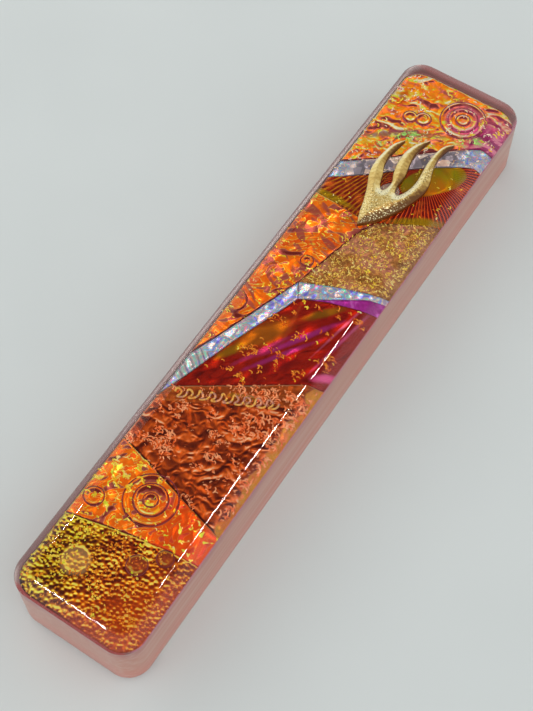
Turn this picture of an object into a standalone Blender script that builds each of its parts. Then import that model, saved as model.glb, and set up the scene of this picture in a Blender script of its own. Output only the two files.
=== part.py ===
"""Mezuzah case: a fused glass case with a cut-glass mosaic under a clear cap, lying on its back.

X is the width, Y runs from the bottom end (-Y) to the top end (+Y) and +Z is the glass front.
Lengths below are in millimetres and mm() turns them into metres. The origin is the middle of the
plane that the mounting strips rest on.
"""

import math

import bmesh
import bpy
from mathutils import Vector

# Driving dimensions of the case
CASE_LENGTH = 152.4
CASE_WIDTH = 29.2
CORNER_RADIUS = 5.1
CORNER_STEPS = 8
GAP = 0.3
FILM_GAP = 0.1

# Heights above the resting plane
LINER_TOP = 0.15
TAPE_BOTTOM = 0.2
TAPE_TOP = 0.7
CASE_BOTTOM = 0.8
CASE_EDGE_ROUND = 0.4
CASE_TOP = 16.3
CAP_TOP = 18.6
SHOULDER_WIDTH = 4.4
SHOULDER_HEIGHT = 2.6
SHOULDER_STEPS = 7

# Back recess with its two rails, and the scroll channel above it
RECESS_HALF_WIDTH = 11.0
RECESS_START = -69.0
RECESS_CEILING = 4.0
CHANNEL_HALF_WIDTH = 8.6
CHANNEL_HALF_LENGTH = 62.0
CHANNEL_CORNER = 2.0
CHANNEL_CEILING = 13.6
RAIL_WEB = 0.7
RAIL_LIP_REACH = 2.0
RAIL_LIP_THICKNESS = 0.9
RAIL_BOTTOM = 1.0

# Sliding back cover
COVER_HALF_WIDTH = 9.7
COVER_THICKNESS = 1.2
COVER_BOTTOM = RAIL_BOTTOM + RAIL_LIP_THICKNESS + GAP
COVER_CORNER = 1.5
GRIP_GROOVES = 6
GRIP_PITCH = 1.8
GRIP_WIDTH = 0.8
GRIP_DEPTH = 0.5
GRIP_HALF_LENGTH = 5.0
GRIP_CENTRE_Y = 66.0

# Scroll of parchment in its clear sleeve
SCROLL_LENGTH = 100.0
SCROLL_TURNS = 3.0
SCROLL_OUTER_RADIUS = 3.4
SCROLL_PITCH = 0.7
SHEET_THICKNESS = 0.35
STEPS_PER_TURN = 20
SLEEVE_LENGTH = 104.0
SLEEVE_OUTER_RADIUS = 4.0
SLEEVE_WALL = 0.3
SLEEVE_SIDES = 28

# Mosaic field under the cap
FIELD_LEFT = -13.0
FIELD_RIGHT = 14.0
FIELD_NEAR = -75.5
FIELD_FAR = 73.2
FIELD_CORNER = 4.4
TILE_THICKNESS = 1.1
TILE_BOTTOM = CASE_TOP - TILE_THICKNESS
TILE_GAP = 0.3

# Mounting strips on the back, one along each long edge
STRIP_CENTRE_X = 12.8
STRIP_HALF_WIDTH = 1.4
STRIP_HALF_LENGTH = 68.0
STRIP_CORNER = 0.6
LINER_TAB = 5.0

# Emblem on the cap
EMBLEM_BOTTOM = 19.0
EMBLEM_THICKNESS = 1.6
EMBLEM_BEVEL = 0.35
CURVE_STEPS = 3
PAD_BOTTOM = CAP_TOP + FILM_GAP
PAD_TOP = EMBLEM_BOTTOM - FILM_GAP
PAD_CENTRE = (0.9, 37.0)
PAD_RADII = (2.6, 4.2)
PAD_SIDES = 24

# Score lines of the mosaic, left to right, run past the field so that the field trims them
TOP_SCORE = [(-16, 39.0), (-7.3, 45.7), (5.5, 56.8), (11.0, 61.1), (17, 61.0)]
BAND_SCORE = [(-16, 33.6), (-6.5, 41.1), (1.2, 47.9), (6.0, 51.6), (11.9, 55.9), (17, 55.7)]
SUN_SCORE = [(-16, 32.1), (-10.8, 31.2), (-2.5, 30.9), (2.1, 31.4), (5.6, 33.4), (10.4, 36.2), (17, 40.2)]
SPLIT_SCORE = [(-3.8, 9.7), (0.3, 27.6), (2.1, 31.4)]
CHEVRON_LEFT_TOP = [(-16, -26.6), (-3.8, 9.7)]
CHEVRON_RIGHT_TOP = [(-3.8, 9.7), (3.4, 12.9), (12.9, 16.4), (17, 17.6)]
CHEVRON_LEFT_LOW = [(-16, -38.9), (-11.9, -25.2), (-7.3, -9.9), (-1.6, 6.1)]
CHEVRON_RIGHT_LOW = [(-1.6, 6.1), (4.2, 9.6), (10.7, 13.9), (17, 16.6)]
SLIVER_SCORE = [(-1.6, 6.1), (4.6, 9.0), (14.0, 11.9), (17, 12.8)]
RED_SCORE = [(-11.9, -25.2), (-0.4, -17.5), (10.6, -10.0), (17, -8.2)]
COPPER_SCORE = [(-16, -38.9), (17, -47.8)]
SPIRAL_SCORE = [(-16, -59.4), (-10.7, -58.2), (-5.3, -56.9), (0.4, -55.7), (6.9, -54.6), (17, -53.3)]

# Runs of the emblem's outline from sharp tip to sharp tip, counter-clockwise from the foot
EMBLEM_RUNS = [
    [(-0.5, 27.1), (2.2, 29.8), (5.2, 34.6), (7.2, 40.0), (7.7, 44.0), (6.4, 48.2), (5.8, 51.3),
     (6.0, 54.4), (7.0, 57.5)],
    [(7.0, 57.5), (4.9, 55.8), (4.0, 52.6), (4.0, 48.5), (4.5, 44.0), (4.0, 40.6), (2.8, 38.6),
     (2.0, 40.3), (2.1, 43.4), (1.5, 46.2), (1.0, 49.1), (1.2, 52.5), (2.0, 56.0)],
    [(2.0, 56.0), (-0.6, 52.8), (-1.7, 49.3), (-1.6, 45.8), (-0.8, 42.7), (0.1, 40.4), (-0.5, 38.1),
     (-1.5, 39.2), (-2.2, 41.4), (-3.3, 44.0), (-3.6, 46.9), (-3.2, 50.2), (-2.8, 52.9)],
    [(-2.8, 52.9), (-4.8, 50.4), (-5.6, 47.3), (-5.9, 43.8), (-5.4, 40.3), (-3.8, 36.6), (-2.6, 33.2),
     (-1.7, 30.0), (-0.5, 27.1)],
]


def mm(value):
    """Millimetres to metres."""
    return value * 0.001


def clear_scene():
    for obj in list(bpy.data.objects):
        bpy.data.objects.remove(obj, do_unlink=True)


def material(name, colour, roughness, metallic=0.0, transmission=0.0):
    mat = bpy.data.materials.new(name)
    mat.use_nodes = True
    shader = mat.node_tree.nodes["Principled BSDF"]
    shader.inputs["Base Color"].default_value = (*colour, 1.0)
    shader.inputs["Roughness"].default_value = roughness
    shader.inputs["Metallic"].default_value = metallic
    shader.inputs["Transmission Weight"].default_value = transmission
    return mat


def rounded_box_outline(left, right, near, far, radius):
    """Rectangle with quarter-circle corners, counter-clockwise."""
    points = []
    corners = [(right - radius, far - radius, 0), (left + radius, far - radius, 90),
               (left + radius, near + radius, 180), (right - radius, near + radius, 270)]
    for centre_x, centre_y, start in corners:
        for step in range(CORNER_STEPS + 1):
            angle = math.radians(start + 90 * step / CORNER_STEPS)
            points.append((centre_x + radius * math.cos(angle), centre_y + radius * math.sin(angle)))
    return points


def case_outline(inset):
    """Outer outline of the case, drawn in by inset all round."""
    half_width = CASE_WIDTH / 2 - inset
    half_length = CASE_LENGTH / 2 - inset
    radius = max(CORNER_RADIUS - inset, 0.5)
    return rounded_box_outline(-half_width, half_width, -half_length, half_length, radius)


def offset_inwards(points, distance):
    """Moves each side of a counter-clockwise outline in by distance, with mitred corners."""
    moved = []
    for index, point in enumerate(points):
        here = Vector(point)
        before = here - Vector(points[index - 1])
        after = Vector(points[(index + 1) % len(points)]) - here
        inward_before = Vector((-before.y, before.x)).normalized()
        inward_after = Vector((-after.y, after.x)).normalized()
        bisector = inward_before + inward_after
        moved.append(tuple(here + bisector * (2 * distance / bisector.length_squared)))
    return moved


def smooth_run(points, steps):
    """Catmull-Rom curve through the points; the last point is left to the next run."""
    padded = [points[0], *points, points[-1]]
    curve = []
    for index in range(len(points) - 1):
        a, b, c, d = (Vector(padded[index + k]) for k in range(4))
        for step in range(steps):
            t = step / steps
            curve.append(tuple(0.5 * ((2 * b) + (c - a) * t + (2 * a - 5 * b + 4 * c - d) * t ** 2
                                      + (3 * b - a - 3 * c + d) * t ** 3)))
    return curve


def finish_mesh(name, bm, mat, flat=False):
    """Turns a bmesh in millimetres into a named object in metres."""
    bmesh.ops.scale(bm, vec=(0.001, 0.001, 0.001), verts=bm.verts)
    bmesh.ops.recalc_face_normals(bm, faces=bm.faces)
    mesh = bpy.data.meshes.new(name)
    bm.to_mesh(mesh)
    bm.free()
    if not flat:
        mesh.shade_smooth()
        mesh.set_sharp_from_angle(angle=math.radians(35))
    obj = bpy.data.objects.new(name, mesh)
    bpy.context.scene.collection.objects.link(obj)
    if mat is not None:
        mesh.materials.append(mat)
    return obj


def stacked_solid(name, layers, mat, flat=False):
    """Closed solid through a stack of outlines of equal length: layers are (outline, height)."""
    bm = bmesh.new()
    rings = [[bm.verts.new((x, y, z)) for x, y in outline] for outline, z in layers]
    for low, high in zip(rings, rings[1:]):
        for index in range(len(low)):
            after = (index + 1) % len(low)
            bm.faces.new((low[index], low[after], high[after], high[index]))
    bm.faces.new(list(reversed(rings[0])))
    bm.faces.new(rings[-1])
    return finish_mesh(name, bm, mat, flat)


def plate(name, outline, bottom, top, mat):
    return stacked_solid(name, [(outline, bottom), (outline, top)], mat, flat=True)


def extruded_along_y(name, profile, near, far, mat):
    """Closed bar with an XZ profile, listed counter-clockwise as seen from -Y."""
    bm = bmesh.new()
    rings = [[bm.verts.new((x, y, z)) for x, z in profile] for y in (near, far)]
    for index in range(len(profile)):
        after = (index + 1) % len(profile)
        bm.faces.new((rings[0][index], rings[0][after], rings[1][after], rings[1][index]))
    bm.faces.new(list(reversed(rings[0])))
    bm.faces.new(rings[1])
    return finish_mesh(name, bm, mat)


def as_guide(obj):
    """Marks a cutter or a trimming shape, which is not a piece of the case."""
    obj.hide_render = True
    obj.display_type = "WIRE"
    return obj


def boolean(obj, cutter, operation):
    modifier = obj.modifiers.new(f"{operation.title()} {cutter.name}", "BOOLEAN")
    modifier.operation = operation
    modifier.object = cutter
    modifier.solver = "EXACT"


def move_origin(obj, x, y, z):
    """Puts the object's origin at a point without moving its surface."""
    point = Vector((mm(x), mm(y), mm(z)))
    for vertex in obj.data.vertices:
        vertex.co -= point
    obj.location = point


def build_case_body():
    """Pink glass case: a shallow bed for the mosaic on top, a channel and a rail recess behind."""
    glass = material("case_glass", (0.62, 0.36, 0.30), 0.25)
    layers = []
    round_steps = 3
    for step in range(round_steps + 1):
        angle = math.radians(90 * step / round_steps)
        inset = CASE_EDGE_ROUND * (1 - math.sin(angle))
        layers.append((case_outline(inset), CASE_BOTTOM + CASE_EDGE_ROUND * (1 - math.cos(angle))))
    layers.append((case_outline(0.0), CASE_TOP))
    body = stacked_solid("case_body", layers, glass)

    overrun = 1.0
    bed = rounded_box_outline(FIELD_LEFT, FIELD_RIGHT, FIELD_NEAR, FIELD_FAR, FIELD_CORNER)
    bed_cutter = as_guide(plate("cut_mosaic_bed", bed, TILE_BOTTOM - GAP, CASE_TOP + overrun, None))
    boolean(body, bed_cutter, "DIFFERENCE")

    recess_end = CASE_LENGTH / 2 + overrun
    recess = [(-RECESS_HALF_WIDTH, RECESS_START), (RECESS_HALF_WIDTH, RECESS_START),
              (RECESS_HALF_WIDTH, recess_end), (-RECESS_HALF_WIDTH, recess_end)]
    recess_cutter = as_guide(plate("cut_rail_recess", recess, CASE_BOTTOM - overrun, RECESS_CEILING, None))
    boolean(body, recess_cutter, "DIFFERENCE")

    channel = rounded_box_outline(-CHANNEL_HALF_WIDTH, CHANNEL_HALF_WIDTH,
                                  -CHANNEL_HALF_LENGTH, CHANNEL_HALF_LENGTH, CHANNEL_CORNER)
    channel_bottom = RECESS_CEILING - overrun
    channel_cutter = as_guide(plate("cut_scroll_channel", channel, channel_bottom, CHANNEL_CEILING, None))
    boolean(body, channel_cutter, "DIFFERENCE")


def build_clear_cap():
    """Clear glass cap with a soft elliptical shoulder all round."""
    clear = material("cap_glass", (0.95, 0.93, 0.90), 0.03, transmission=1.0)
    layers = [(case_outline(0.0), CASE_TOP + GAP)]
    start = CAP_TOP - SHOULDER_HEIGHT
    for step in range(SHOULDER_STEPS + 1):
        angle = math.radians(90 * step / SHOULDER_STEPS)
        height = start + SHOULDER_HEIGHT * math.sin(angle)
        if height > CASE_TOP + GAP + 0.05:
            layers.append((case_outline(SHOULDER_WIDTH * (1 - math.cos(angle))), height))
    stacked_solid("clear_cap", layers, clear)


def tile_outlines():
    """Outline of each mosaic glass between its score lines, counter-clockwise."""
    return {
        "glass_crown_ripple": TOP_SCORE + [(17, 80), (-16, 80)],
        "glass_silver_band": BAND_SCORE + TOP_SCORE[::-1],
        "glass_sunburst": SUN_SCORE + BAND_SCORE[::-1],
        "glass_amber_ripple": CHEVRON_LEFT_TOP + SPLIT_SCORE[1:] + SUN_SCORE[2::-1],
        "glass_champagne_grain": CHEVRON_RIGHT_TOP + SUN_SCORE[:2:-1] + [SPLIT_SCORE[1]],
        "glass_chevron_left": CHEVRON_LEFT_LOW + CHEVRON_LEFT_TOP[::-1],
        "glass_chevron_right": CHEVRON_RIGHT_LOW + CHEVRON_RIGHT_TOP[::-1],
        "glass_magenta_sliver": SLIVER_SCORE + CHEVRON_RIGHT_LOW[:0:-1],
        "glass_ruby_streak": RED_SCORE + SLIVER_SCORE[::-1] + CHEVRON_LEFT_LOW[2:0:-1],
        "glass_copper_crinkle": COPPER_SCORE + RED_SCORE[::-1],
        "glass_amber_spiral": SPIRAL_SCORE + COPPER_SCORE[::-1],
        "glass_gold_grain": [(-16, -80), (17, -80)] + SPIRAL_SCORE[::-1],
    }


TILE_COLOURS = {
    "glass_crown_ripple": (0.75, 0.28, 0.05),
    "glass_silver_band": (0.62, 0.58, 0.66),
    "glass_sunburst": (0.45, 0.05, 0.01),
    "glass_amber_ripple": (0.78, 0.24, 0.03),
    "glass_champagne_grain": (0.52, 0.30, 0.12),
    "glass_chevron_left": (0.62, 0.66, 0.72),
    "glass_chevron_right": (0.60, 0.60, 0.75),
    "glass_magenta_sliver": (0.55, 0.06, 0.22),
    "glass_ruby_streak": (0.38, 0.03, 0.02),
    "glass_copper_crinkle": (0.42, 0.13, 0.06),
    "glass_amber_spiral": (0.72, 0.20, 0.02),
    "glass_gold_grain": (0.40, 0.20, 0.02),
}


def without_repeats(points):
    """Drops a point that follows itself, as where two score lines share an end."""
    return [point for index, point in enumerate(points) if point != points[index - 1]]


def build_mosaic():
    """Each glass is cut along its score lines and trimmed by the bed's outline."""
    field = rounded_box_outline(FIELD_LEFT + GAP, FIELD_RIGHT - GAP, FIELD_NEAR + GAP, FIELD_FAR - GAP,
                                FIELD_CORNER - GAP)
    overrun = 1.0
    for name, points in tile_outlines().items():
        glass = material(name, TILE_COLOURS[name], 0.3, metallic=0.4)
        outline = offset_inwards(without_repeats(points), TILE_GAP / 2)
        trim = as_guide(plate(f"trim_{name}", field, TILE_BOTTOM - overrun, CASE_TOP + overrun, None))
        tile = plate(name, outline, TILE_BOTTOM, CASE_TOP, glass)
        boolean(tile, trim, "INTERSECT")


def build_emblem():
    """Gold letter Shin as three flames on one foot, with its glue pad."""
    gold = material("emblem_gold", (0.62, 0.44, 0.20), 0.35, metallic=0.9)
    outline = []
    for run in EMBLEM_RUNS:
        outline.extend(smooth_run(run, CURVE_STEPS))
    emblem = plate("shin_emblem", outline, EMBLEM_BOTTOM, EMBLEM_BOTTOM + EMBLEM_THICKNESS, gold)
    bevel = emblem.modifiers.new("Soft rim", "BEVEL")
    bevel.width = mm(EMBLEM_BEVEL)
    bevel.segments = 1
    bevel.limit_method = "ANGLE"
    bevel.angle_limit = math.radians(80)

    glue = material("emblem_glue", (0.75, 0.72, 0.65), 0.3)
    pad = []
    for side in range(PAD_SIDES):
        angle = 2 * math.pi * side / PAD_SIDES
        pad.append((PAD_CENTRE[0] + PAD_RADII[0] * math.cos(angle),
                    PAD_CENTRE[1] + PAD_RADII[1] * math.sin(angle)))
    plate("emblem_glue_pad", pad, PAD_BOTTOM, PAD_TOP, glue)


def build_rails():
    """Angle-section rails glued into the recess, one on each side, that hold the cover's edges."""
    metal = material("rail_aluminium", (0.60, 0.60, 0.60), 0.4, metallic=1.0)
    outer = RECESS_HALF_WIDTH - GAP
    inner = outer - RAIL_LIP_REACH
    web_inner = outer - RAIL_WEB
    lip_top = RAIL_BOTTOM + RAIL_LIP_THICKNESS
    top = RECESS_CEILING - GAP
    profile = [(inner, RAIL_BOTTOM), (outer, RAIL_BOTTOM), (outer, top), (web_inner, top),
               (web_inner, lip_top), (inner, lip_top)]
    near = RECESS_START + GAP
    far = CASE_LENGTH / 2 - GAP
    for name, side in (("rail_right", 1), ("rail_left", -1)):
        extruded_along_y(name, [(side * x, z) for x, z in profile], near, far, metal)


def build_back_cover():
    """Flat cover that slides out at the top end; its origin is on its sliding axis."""
    plastic = material("cover_plastic", (0.80, 0.78, 0.74), 0.45)
    near = RECESS_START + 2 * GAP
    far = CASE_LENGTH / 2 - GAP
    outline = rounded_box_outline(-COVER_HALF_WIDTH, COVER_HALF_WIDTH, near, far, COVER_CORNER)
    cover = plate("back_cover", outline, COVER_BOTTOM, COVER_BOTTOM + COVER_THICKNESS, plastic)

    bm = bmesh.new()
    overrun = 1.0
    for groove in range(GRIP_GROOVES):
        centre_y = GRIP_CENTRE_Y + (groove - (GRIP_GROOVES - 1) / 2) * GRIP_PITCH
        height = GRIP_DEPTH + overrun
        cube = bmesh.ops.create_cube(bm, size=1.0)["verts"]
        bmesh.ops.scale(bm, vec=(2 * GRIP_HALF_LENGTH, GRIP_WIDTH, height), verts=cube)
        centre = (0.0, centre_y, COVER_BOTTOM + GRIP_DEPTH - height / 2)
        bmesh.ops.translate(bm, vec=centre, verts=cube)
    grooves = as_guide(finish_mesh("cut_grip_grooves", bm, None))
    boolean(cover, grooves, "DIFFERENCE")
    move_origin(cover, 0.0, 0.0, COVER_BOTTOM + COVER_THICKNESS / 2)


def build_scroll():
    """Rolled parchment in its clear sleeve, lying on the back cover."""
    axis_height = COVER_BOTTOM + COVER_THICKNESS + GAP + SLEEVE_OUTER_RADIUS
    skin = material("parchment_skin", (0.78, 0.66, 0.45), 0.7)
    count = int(SCROLL_TURNS * STEPS_PER_TURN)
    outer = []
    inner = []
    for step in range(count + 1):
        angle = 2 * math.pi * step / STEPS_PER_TURN
        radius = SCROLL_OUTER_RADIUS - SCROLL_PITCH * step / STEPS_PER_TURN
        outer.append((radius * math.cos(angle), axis_height + radius * math.sin(angle)))
        thin = radius - SHEET_THICKNESS
        inner.append((thin * math.cos(angle), axis_height + thin * math.sin(angle)))
    half = SCROLL_LENGTH / 2
    parchment = spiral_sheet("parchment_scroll", outer, inner, -half, half, skin)
    move_origin(parchment, 0.0, 0.0, axis_height)

    film = material("sleeve_film", (0.90, 0.92, 0.92), 0.1, transmission=0.9)
    sleeve = tube("scroll_sleeve", SLEEVE_OUTER_RADIUS, SLEEVE_OUTER_RADIUS - SLEEVE_WALL,
                  SLEEVE_LENGTH / 2, axis_height, film)
    move_origin(sleeve, 0.0, 0.0, axis_height)


def spiral_sheet(name, outer, inner, near, far, mat):
    """One rolled sheet: two spirals in XZ joined along their length and at both ends."""
    bm = bmesh.new()
    rings = []
    for y in (near, far):
        rings.append(([bm.verts.new((x, y, z)) for x, z in outer], [bm.verts.new((x, y, z)) for x, z in inner]))
    (near_out, near_in), (far_out, far_in) = rings
    for a in range(len(outer) - 1):
        b = a + 1
        bm.faces.new((near_out[a], near_out[b], far_out[b], far_out[a]))
        bm.faces.new((near_in[a], far_in[a], far_in[b], near_in[b]))
        bm.faces.new((near_out[a], near_in[a], near_in[b], near_out[b]))
        bm.faces.new((far_out[a], far_out[b], far_in[b], far_in[a]))
    for end in (0, -1):
        bm.faces.new((near_out[end], far_out[end], far_in[end], near_in[end]))
    return finish_mesh(name, bm, mat)


def tube(name, outer_radius, inner_radius, half_length, axis_height, mat):
    """Open-ended tube along Y."""
    bm = bmesh.new()
    loops = []
    for radius, y in ((outer_radius, -half_length), (outer_radius, half_length),
                      (inner_radius, half_length), (inner_radius, -half_length)):
        loop = []
        for side in range(SLEEVE_SIDES):
            angle = 2 * math.pi * side / SLEEVE_SIDES
            loop.append(bm.verts.new((radius * math.cos(angle), y, axis_height + radius * math.sin(angle))))
        loops.append(loop)
    for index, loop in enumerate(loops):
        following = loops[(index + 1) % len(loops)]
        for side in range(SLEEVE_SIDES):
            after = (side + 1) % SLEEVE_SIDES
            bm.faces.new((loop[side], loop[after], following[after], following[side]))
    return finish_mesh(name, bm, mat)


def build_mounting_strips():
    """Foam tape and its peel-off liner along each long edge of the back."""
    foam = material("tape_foam", (0.85, 0.85, 0.83), 0.8)
    paper = material("liner_paper", (0.90, 0.55, 0.35), 0.5)
    for side_name, side in (("left", -1), ("right", 1)):
        left = side * STRIP_CENTRE_X - STRIP_HALF_WIDTH
        right = side * STRIP_CENTRE_X + STRIP_HALF_WIDTH
        tape = rounded_box_outline(left, right, -STRIP_HALF_LENGTH, STRIP_HALF_LENGTH, STRIP_CORNER)
        plate(f"mounting_tape_{side_name}", tape, TAPE_BOTTOM, TAPE_TOP, foam)
        liner_far = STRIP_HALF_LENGTH + LINER_TAB
        liner = rounded_box_outline(left, right, -STRIP_HALF_LENGTH, liner_far, STRIP_CORNER)
        plate(f"tape_liner_{side_name}", liner, 0.0, LINER_TOP, paper)


def main():
    clear_scene()
    build_case_body()
    build_clear_cap()
    build_mosaic()
    build_emblem()
    build_rails()
    build_back_cover()
    build_scroll()
    build_mounting_strips()


main()
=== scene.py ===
# %% [markdown]
# # A fused glass mezuzah case
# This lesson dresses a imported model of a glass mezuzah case: a pink glass body, a mosaic of patterned
# foil glass, a clear cap over it and a gold letter on top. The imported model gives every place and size,
# so each new piece is built where its plain stand-in lies.

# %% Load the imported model
import math

import bmesh
import bpy
import numpy as np
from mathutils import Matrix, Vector, noise
from mathutils.geometry import delaunay_2d_cdt


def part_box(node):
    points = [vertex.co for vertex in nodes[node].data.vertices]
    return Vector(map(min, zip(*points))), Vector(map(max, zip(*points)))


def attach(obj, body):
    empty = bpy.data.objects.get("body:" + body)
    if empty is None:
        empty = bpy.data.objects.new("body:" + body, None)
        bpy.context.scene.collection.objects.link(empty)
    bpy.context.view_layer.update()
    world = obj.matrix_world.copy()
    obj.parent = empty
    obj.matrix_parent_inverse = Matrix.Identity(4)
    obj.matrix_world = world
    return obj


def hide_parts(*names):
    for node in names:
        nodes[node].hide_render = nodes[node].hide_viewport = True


MM = 0.001
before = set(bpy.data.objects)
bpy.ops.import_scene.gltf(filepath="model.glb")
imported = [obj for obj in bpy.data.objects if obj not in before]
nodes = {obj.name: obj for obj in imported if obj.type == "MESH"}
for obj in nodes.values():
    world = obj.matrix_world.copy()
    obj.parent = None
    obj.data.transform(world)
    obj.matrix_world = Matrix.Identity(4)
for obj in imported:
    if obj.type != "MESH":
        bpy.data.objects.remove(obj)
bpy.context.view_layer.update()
case_low, case_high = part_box("case_body")
cap_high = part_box("clear_cap")[1]
print("case from", [round(v / MM, 1) for v in case_low], "to", [round(v / MM, 1) for v in cap_high])

# %% [markdown]
# ## Camera
# The case lies on its back and is seen from about 60 degrees above. A short lens close by would make its
# near end look swollen, so a long lens stands further away and keeps the long sides almost parallel.

# %% Camera
LENS = 69.4
SENSOR = 36.0
CAMERA_PLACE = Vector((74.9, -122.1, 261.9)) * MM
CAMERA_TARGET = Vector((0.13, -8.55, 16.3)) * MM
scene = bpy.context.scene
scene.view_settings.view_transform = "Standard"


def aim(obj, target):
    """Turns a camera or lamp so that it looks at target."""
    obj.rotation_euler = (Vector(target) - obj.location).to_track_quat("-Z", "Y").to_euler()


camera_data = bpy.data.cameras.new("camera")
camera_data.lens = LENS
camera_data.sensor_width = SENSOR
camera = bpy.data.objects.new("camera", camera_data)
camera.location = CAMERA_PLACE
aim(camera, CAMERA_TARGET)
scene.collection.objects.link(camera)
scene.camera = camera
print("camera distance", round(camera.location.length, 3), "m")

# %% [markdown]
# ## Lamps
# The polished shoulder shows broken dashes of light. One long lamp would give an unbroken line, so rows
# of small lamps hang overhead. They show in reflections only, and one large soft lamp gives the shadow.

# %% Lamps
WARM = (1.0, 0.95, 0.90)


def lamp(name, place, width, length, watts):
    """A lamp in metres, aimed at the case, that shows in reflections only."""
    data = bpy.data.lights.new(name, "AREA")
    data.shape = "RECTANGLE"
    data.size = width
    data.size_y = length
    data.energy = watts
    data.color = WARM
    data.use_shadow = False
    obj = bpy.data.objects.new(name, data)
    obj.location = place
    scene.collection.objects.link(obj)
    aim(obj, (0, 0, 0))
    obj.visible_diffuse = False
    return obj


def lamp_row(name, middle, step, count, width, length, watts, level=False):
    """A row of small lamps. A level row hangs flat instead of aiming at the case."""
    for index in range(count):
        place = Vector(middle) + Vector(step) * (index - (count - 1) / 2)
        hung = lamp(f"{name}_{index + 1}", place, width, length, watts / count)
        if level:
            hung.rotation_euler = (0, 0, 0)


lamp_row("ceiling_row", (0.04, 0.34, 1.0), (0.0, 0.029, 0.0), 12, 0.05, 0.017, 2.0)
lamp_row("ceiling_near", (-0.32, -0.30, 1.0), (0.019, 0.0, 0.0), 6, 0.013, 0.09, 1.0, level=True)
lamp_row("ceiling_left", (-0.50, 0.205, 1.0), (0.0, 0.05, 0.0), 1, 0.04, 0.03, 0.4)
soft_key = lamp("soft_key", (-1.1, 0.35, 1.1), 1.0, 1.0, 2.2)
soft_key.data.use_shadow = True
soft_key.visible_diffuse = True
print("lamps:", len(bpy.data.lights))

# %% [markdown]
# ## Surround
# An even, slightly cool surround under slightly warm lamps gives the shadow its faint teal tone. The flat
# cap would mirror it as a pale veil over the mosaic, so a soft dark card hangs in that one direction.

# %% Surround
SURROUND = (0.93, 0.97, 1.0, 1.0)
SURROUND_STRENGTH = 1.06
CARD = (0.14, 0.145, 0.15, 1.0)
CARD_DIRECTION = (-0.266, 0.404, 0.875)
CARD_EDGE, CARD_CORE = 0.72, 0.93
world = bpy.data.worlds.new("surround")
scene.world = world
world.use_nodes = True
background = world.node_tree.nodes["Background"]
background.inputs["Strength"].default_value = SURROUND_STRENGTH
outward = world.node_tree.nodes.new("ShaderNodeTexCoord")
towards = world.node_tree.nodes.new("ShaderNodeVectorMath")
towards.operation = "DOT_PRODUCT"
towards.inputs[1].default_value = CARD_DIRECTION
card = world.node_tree.nodes.new("ShaderNodeValToRGB")
for element, place, tone in zip(card.color_ramp.elements, (CARD_EDGE, CARD_CORE), (SURROUND, CARD)):
    element.position = place
    element.color = tone
world.node_tree.links.new(outward.outputs["Generated"], towards.inputs[0])
world.node_tree.links.new(towards.outputs["Value"], card.inputs["Fac"])
world.node_tree.links.new(card.outputs["Color"], background.inputs["Color"])
print("surround with a card", round(math.degrees(math.acos(CARD_EDGE))), "degrees wide to each side")


# %% [markdown]
# ## Finishes
# Every finish is one node material. Nodes could be placed by hand in the editor, but a pattern is easier
# to read and to repeat as a few lines, so two small classes add nodes a line at a time. They keep every
# pattern's scale in millimetres, which is how a glass maker would speak of grain and ripple.

# %% Adding nodes a line at a time
class Nodes:
    """Adds nodes to one tree. Finishes and recipes both build on it."""

    def put(self, socket, value):
        """Links value into a socket, or sets it there if it is a plain number or colour."""
        if isinstance(value, bpy.types.NodeSocket):
            self.tree.links.new(value, socket)
        else:
            socket.default_value = value

    def add(self, kind, inputs=(), **settings):
        """A new node with its settings, and its inputs by name or place."""
        made = self.tree.nodes.new(kind)
        for key, value in settings.items():
            setattr(made, key, value)
        for key, value in dict(inputs).items():
            self.put(made.inputs[key], value)
        return made

    def out(self, kind, inputs=(), **settings):
        """The first output of a new node."""
        return self.add(kind, inputs, **settings).outputs[0]

    def parts(self, vector):
        """The X, Y and Z of a vector."""
        return self.add("ShaderNodeSeparateXYZ", {0: vector}).outputs

    def math(self, operation, a, b=0.0):
        return self.out("ShaderNodeMath", {0: a, 1: b}, operation=operation)

    def plus(self, a, b):
        return self.math("ADD", a, b)

    def minus(self, a, b):
        return self.math("SUBTRACT", a, b)

    def times(self, a, b):
        return self.math("MULTIPLY", a, b)


def screen(red, green, blue):
    """A colour picked as 0 to 255 on a screen, as linear values."""
    channels = []
    for value in (red, green, blue):
        share = value / 255
        channels.append(share / 12.92 if share <= 0.04045 else ((share + 0.055) / 1.055) ** 2.4)
    return (*channels, 1.0)


# %% A builder for node materials
RAGGED_GRAIN = 1.8
ENDLESS = 1000.0


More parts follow.
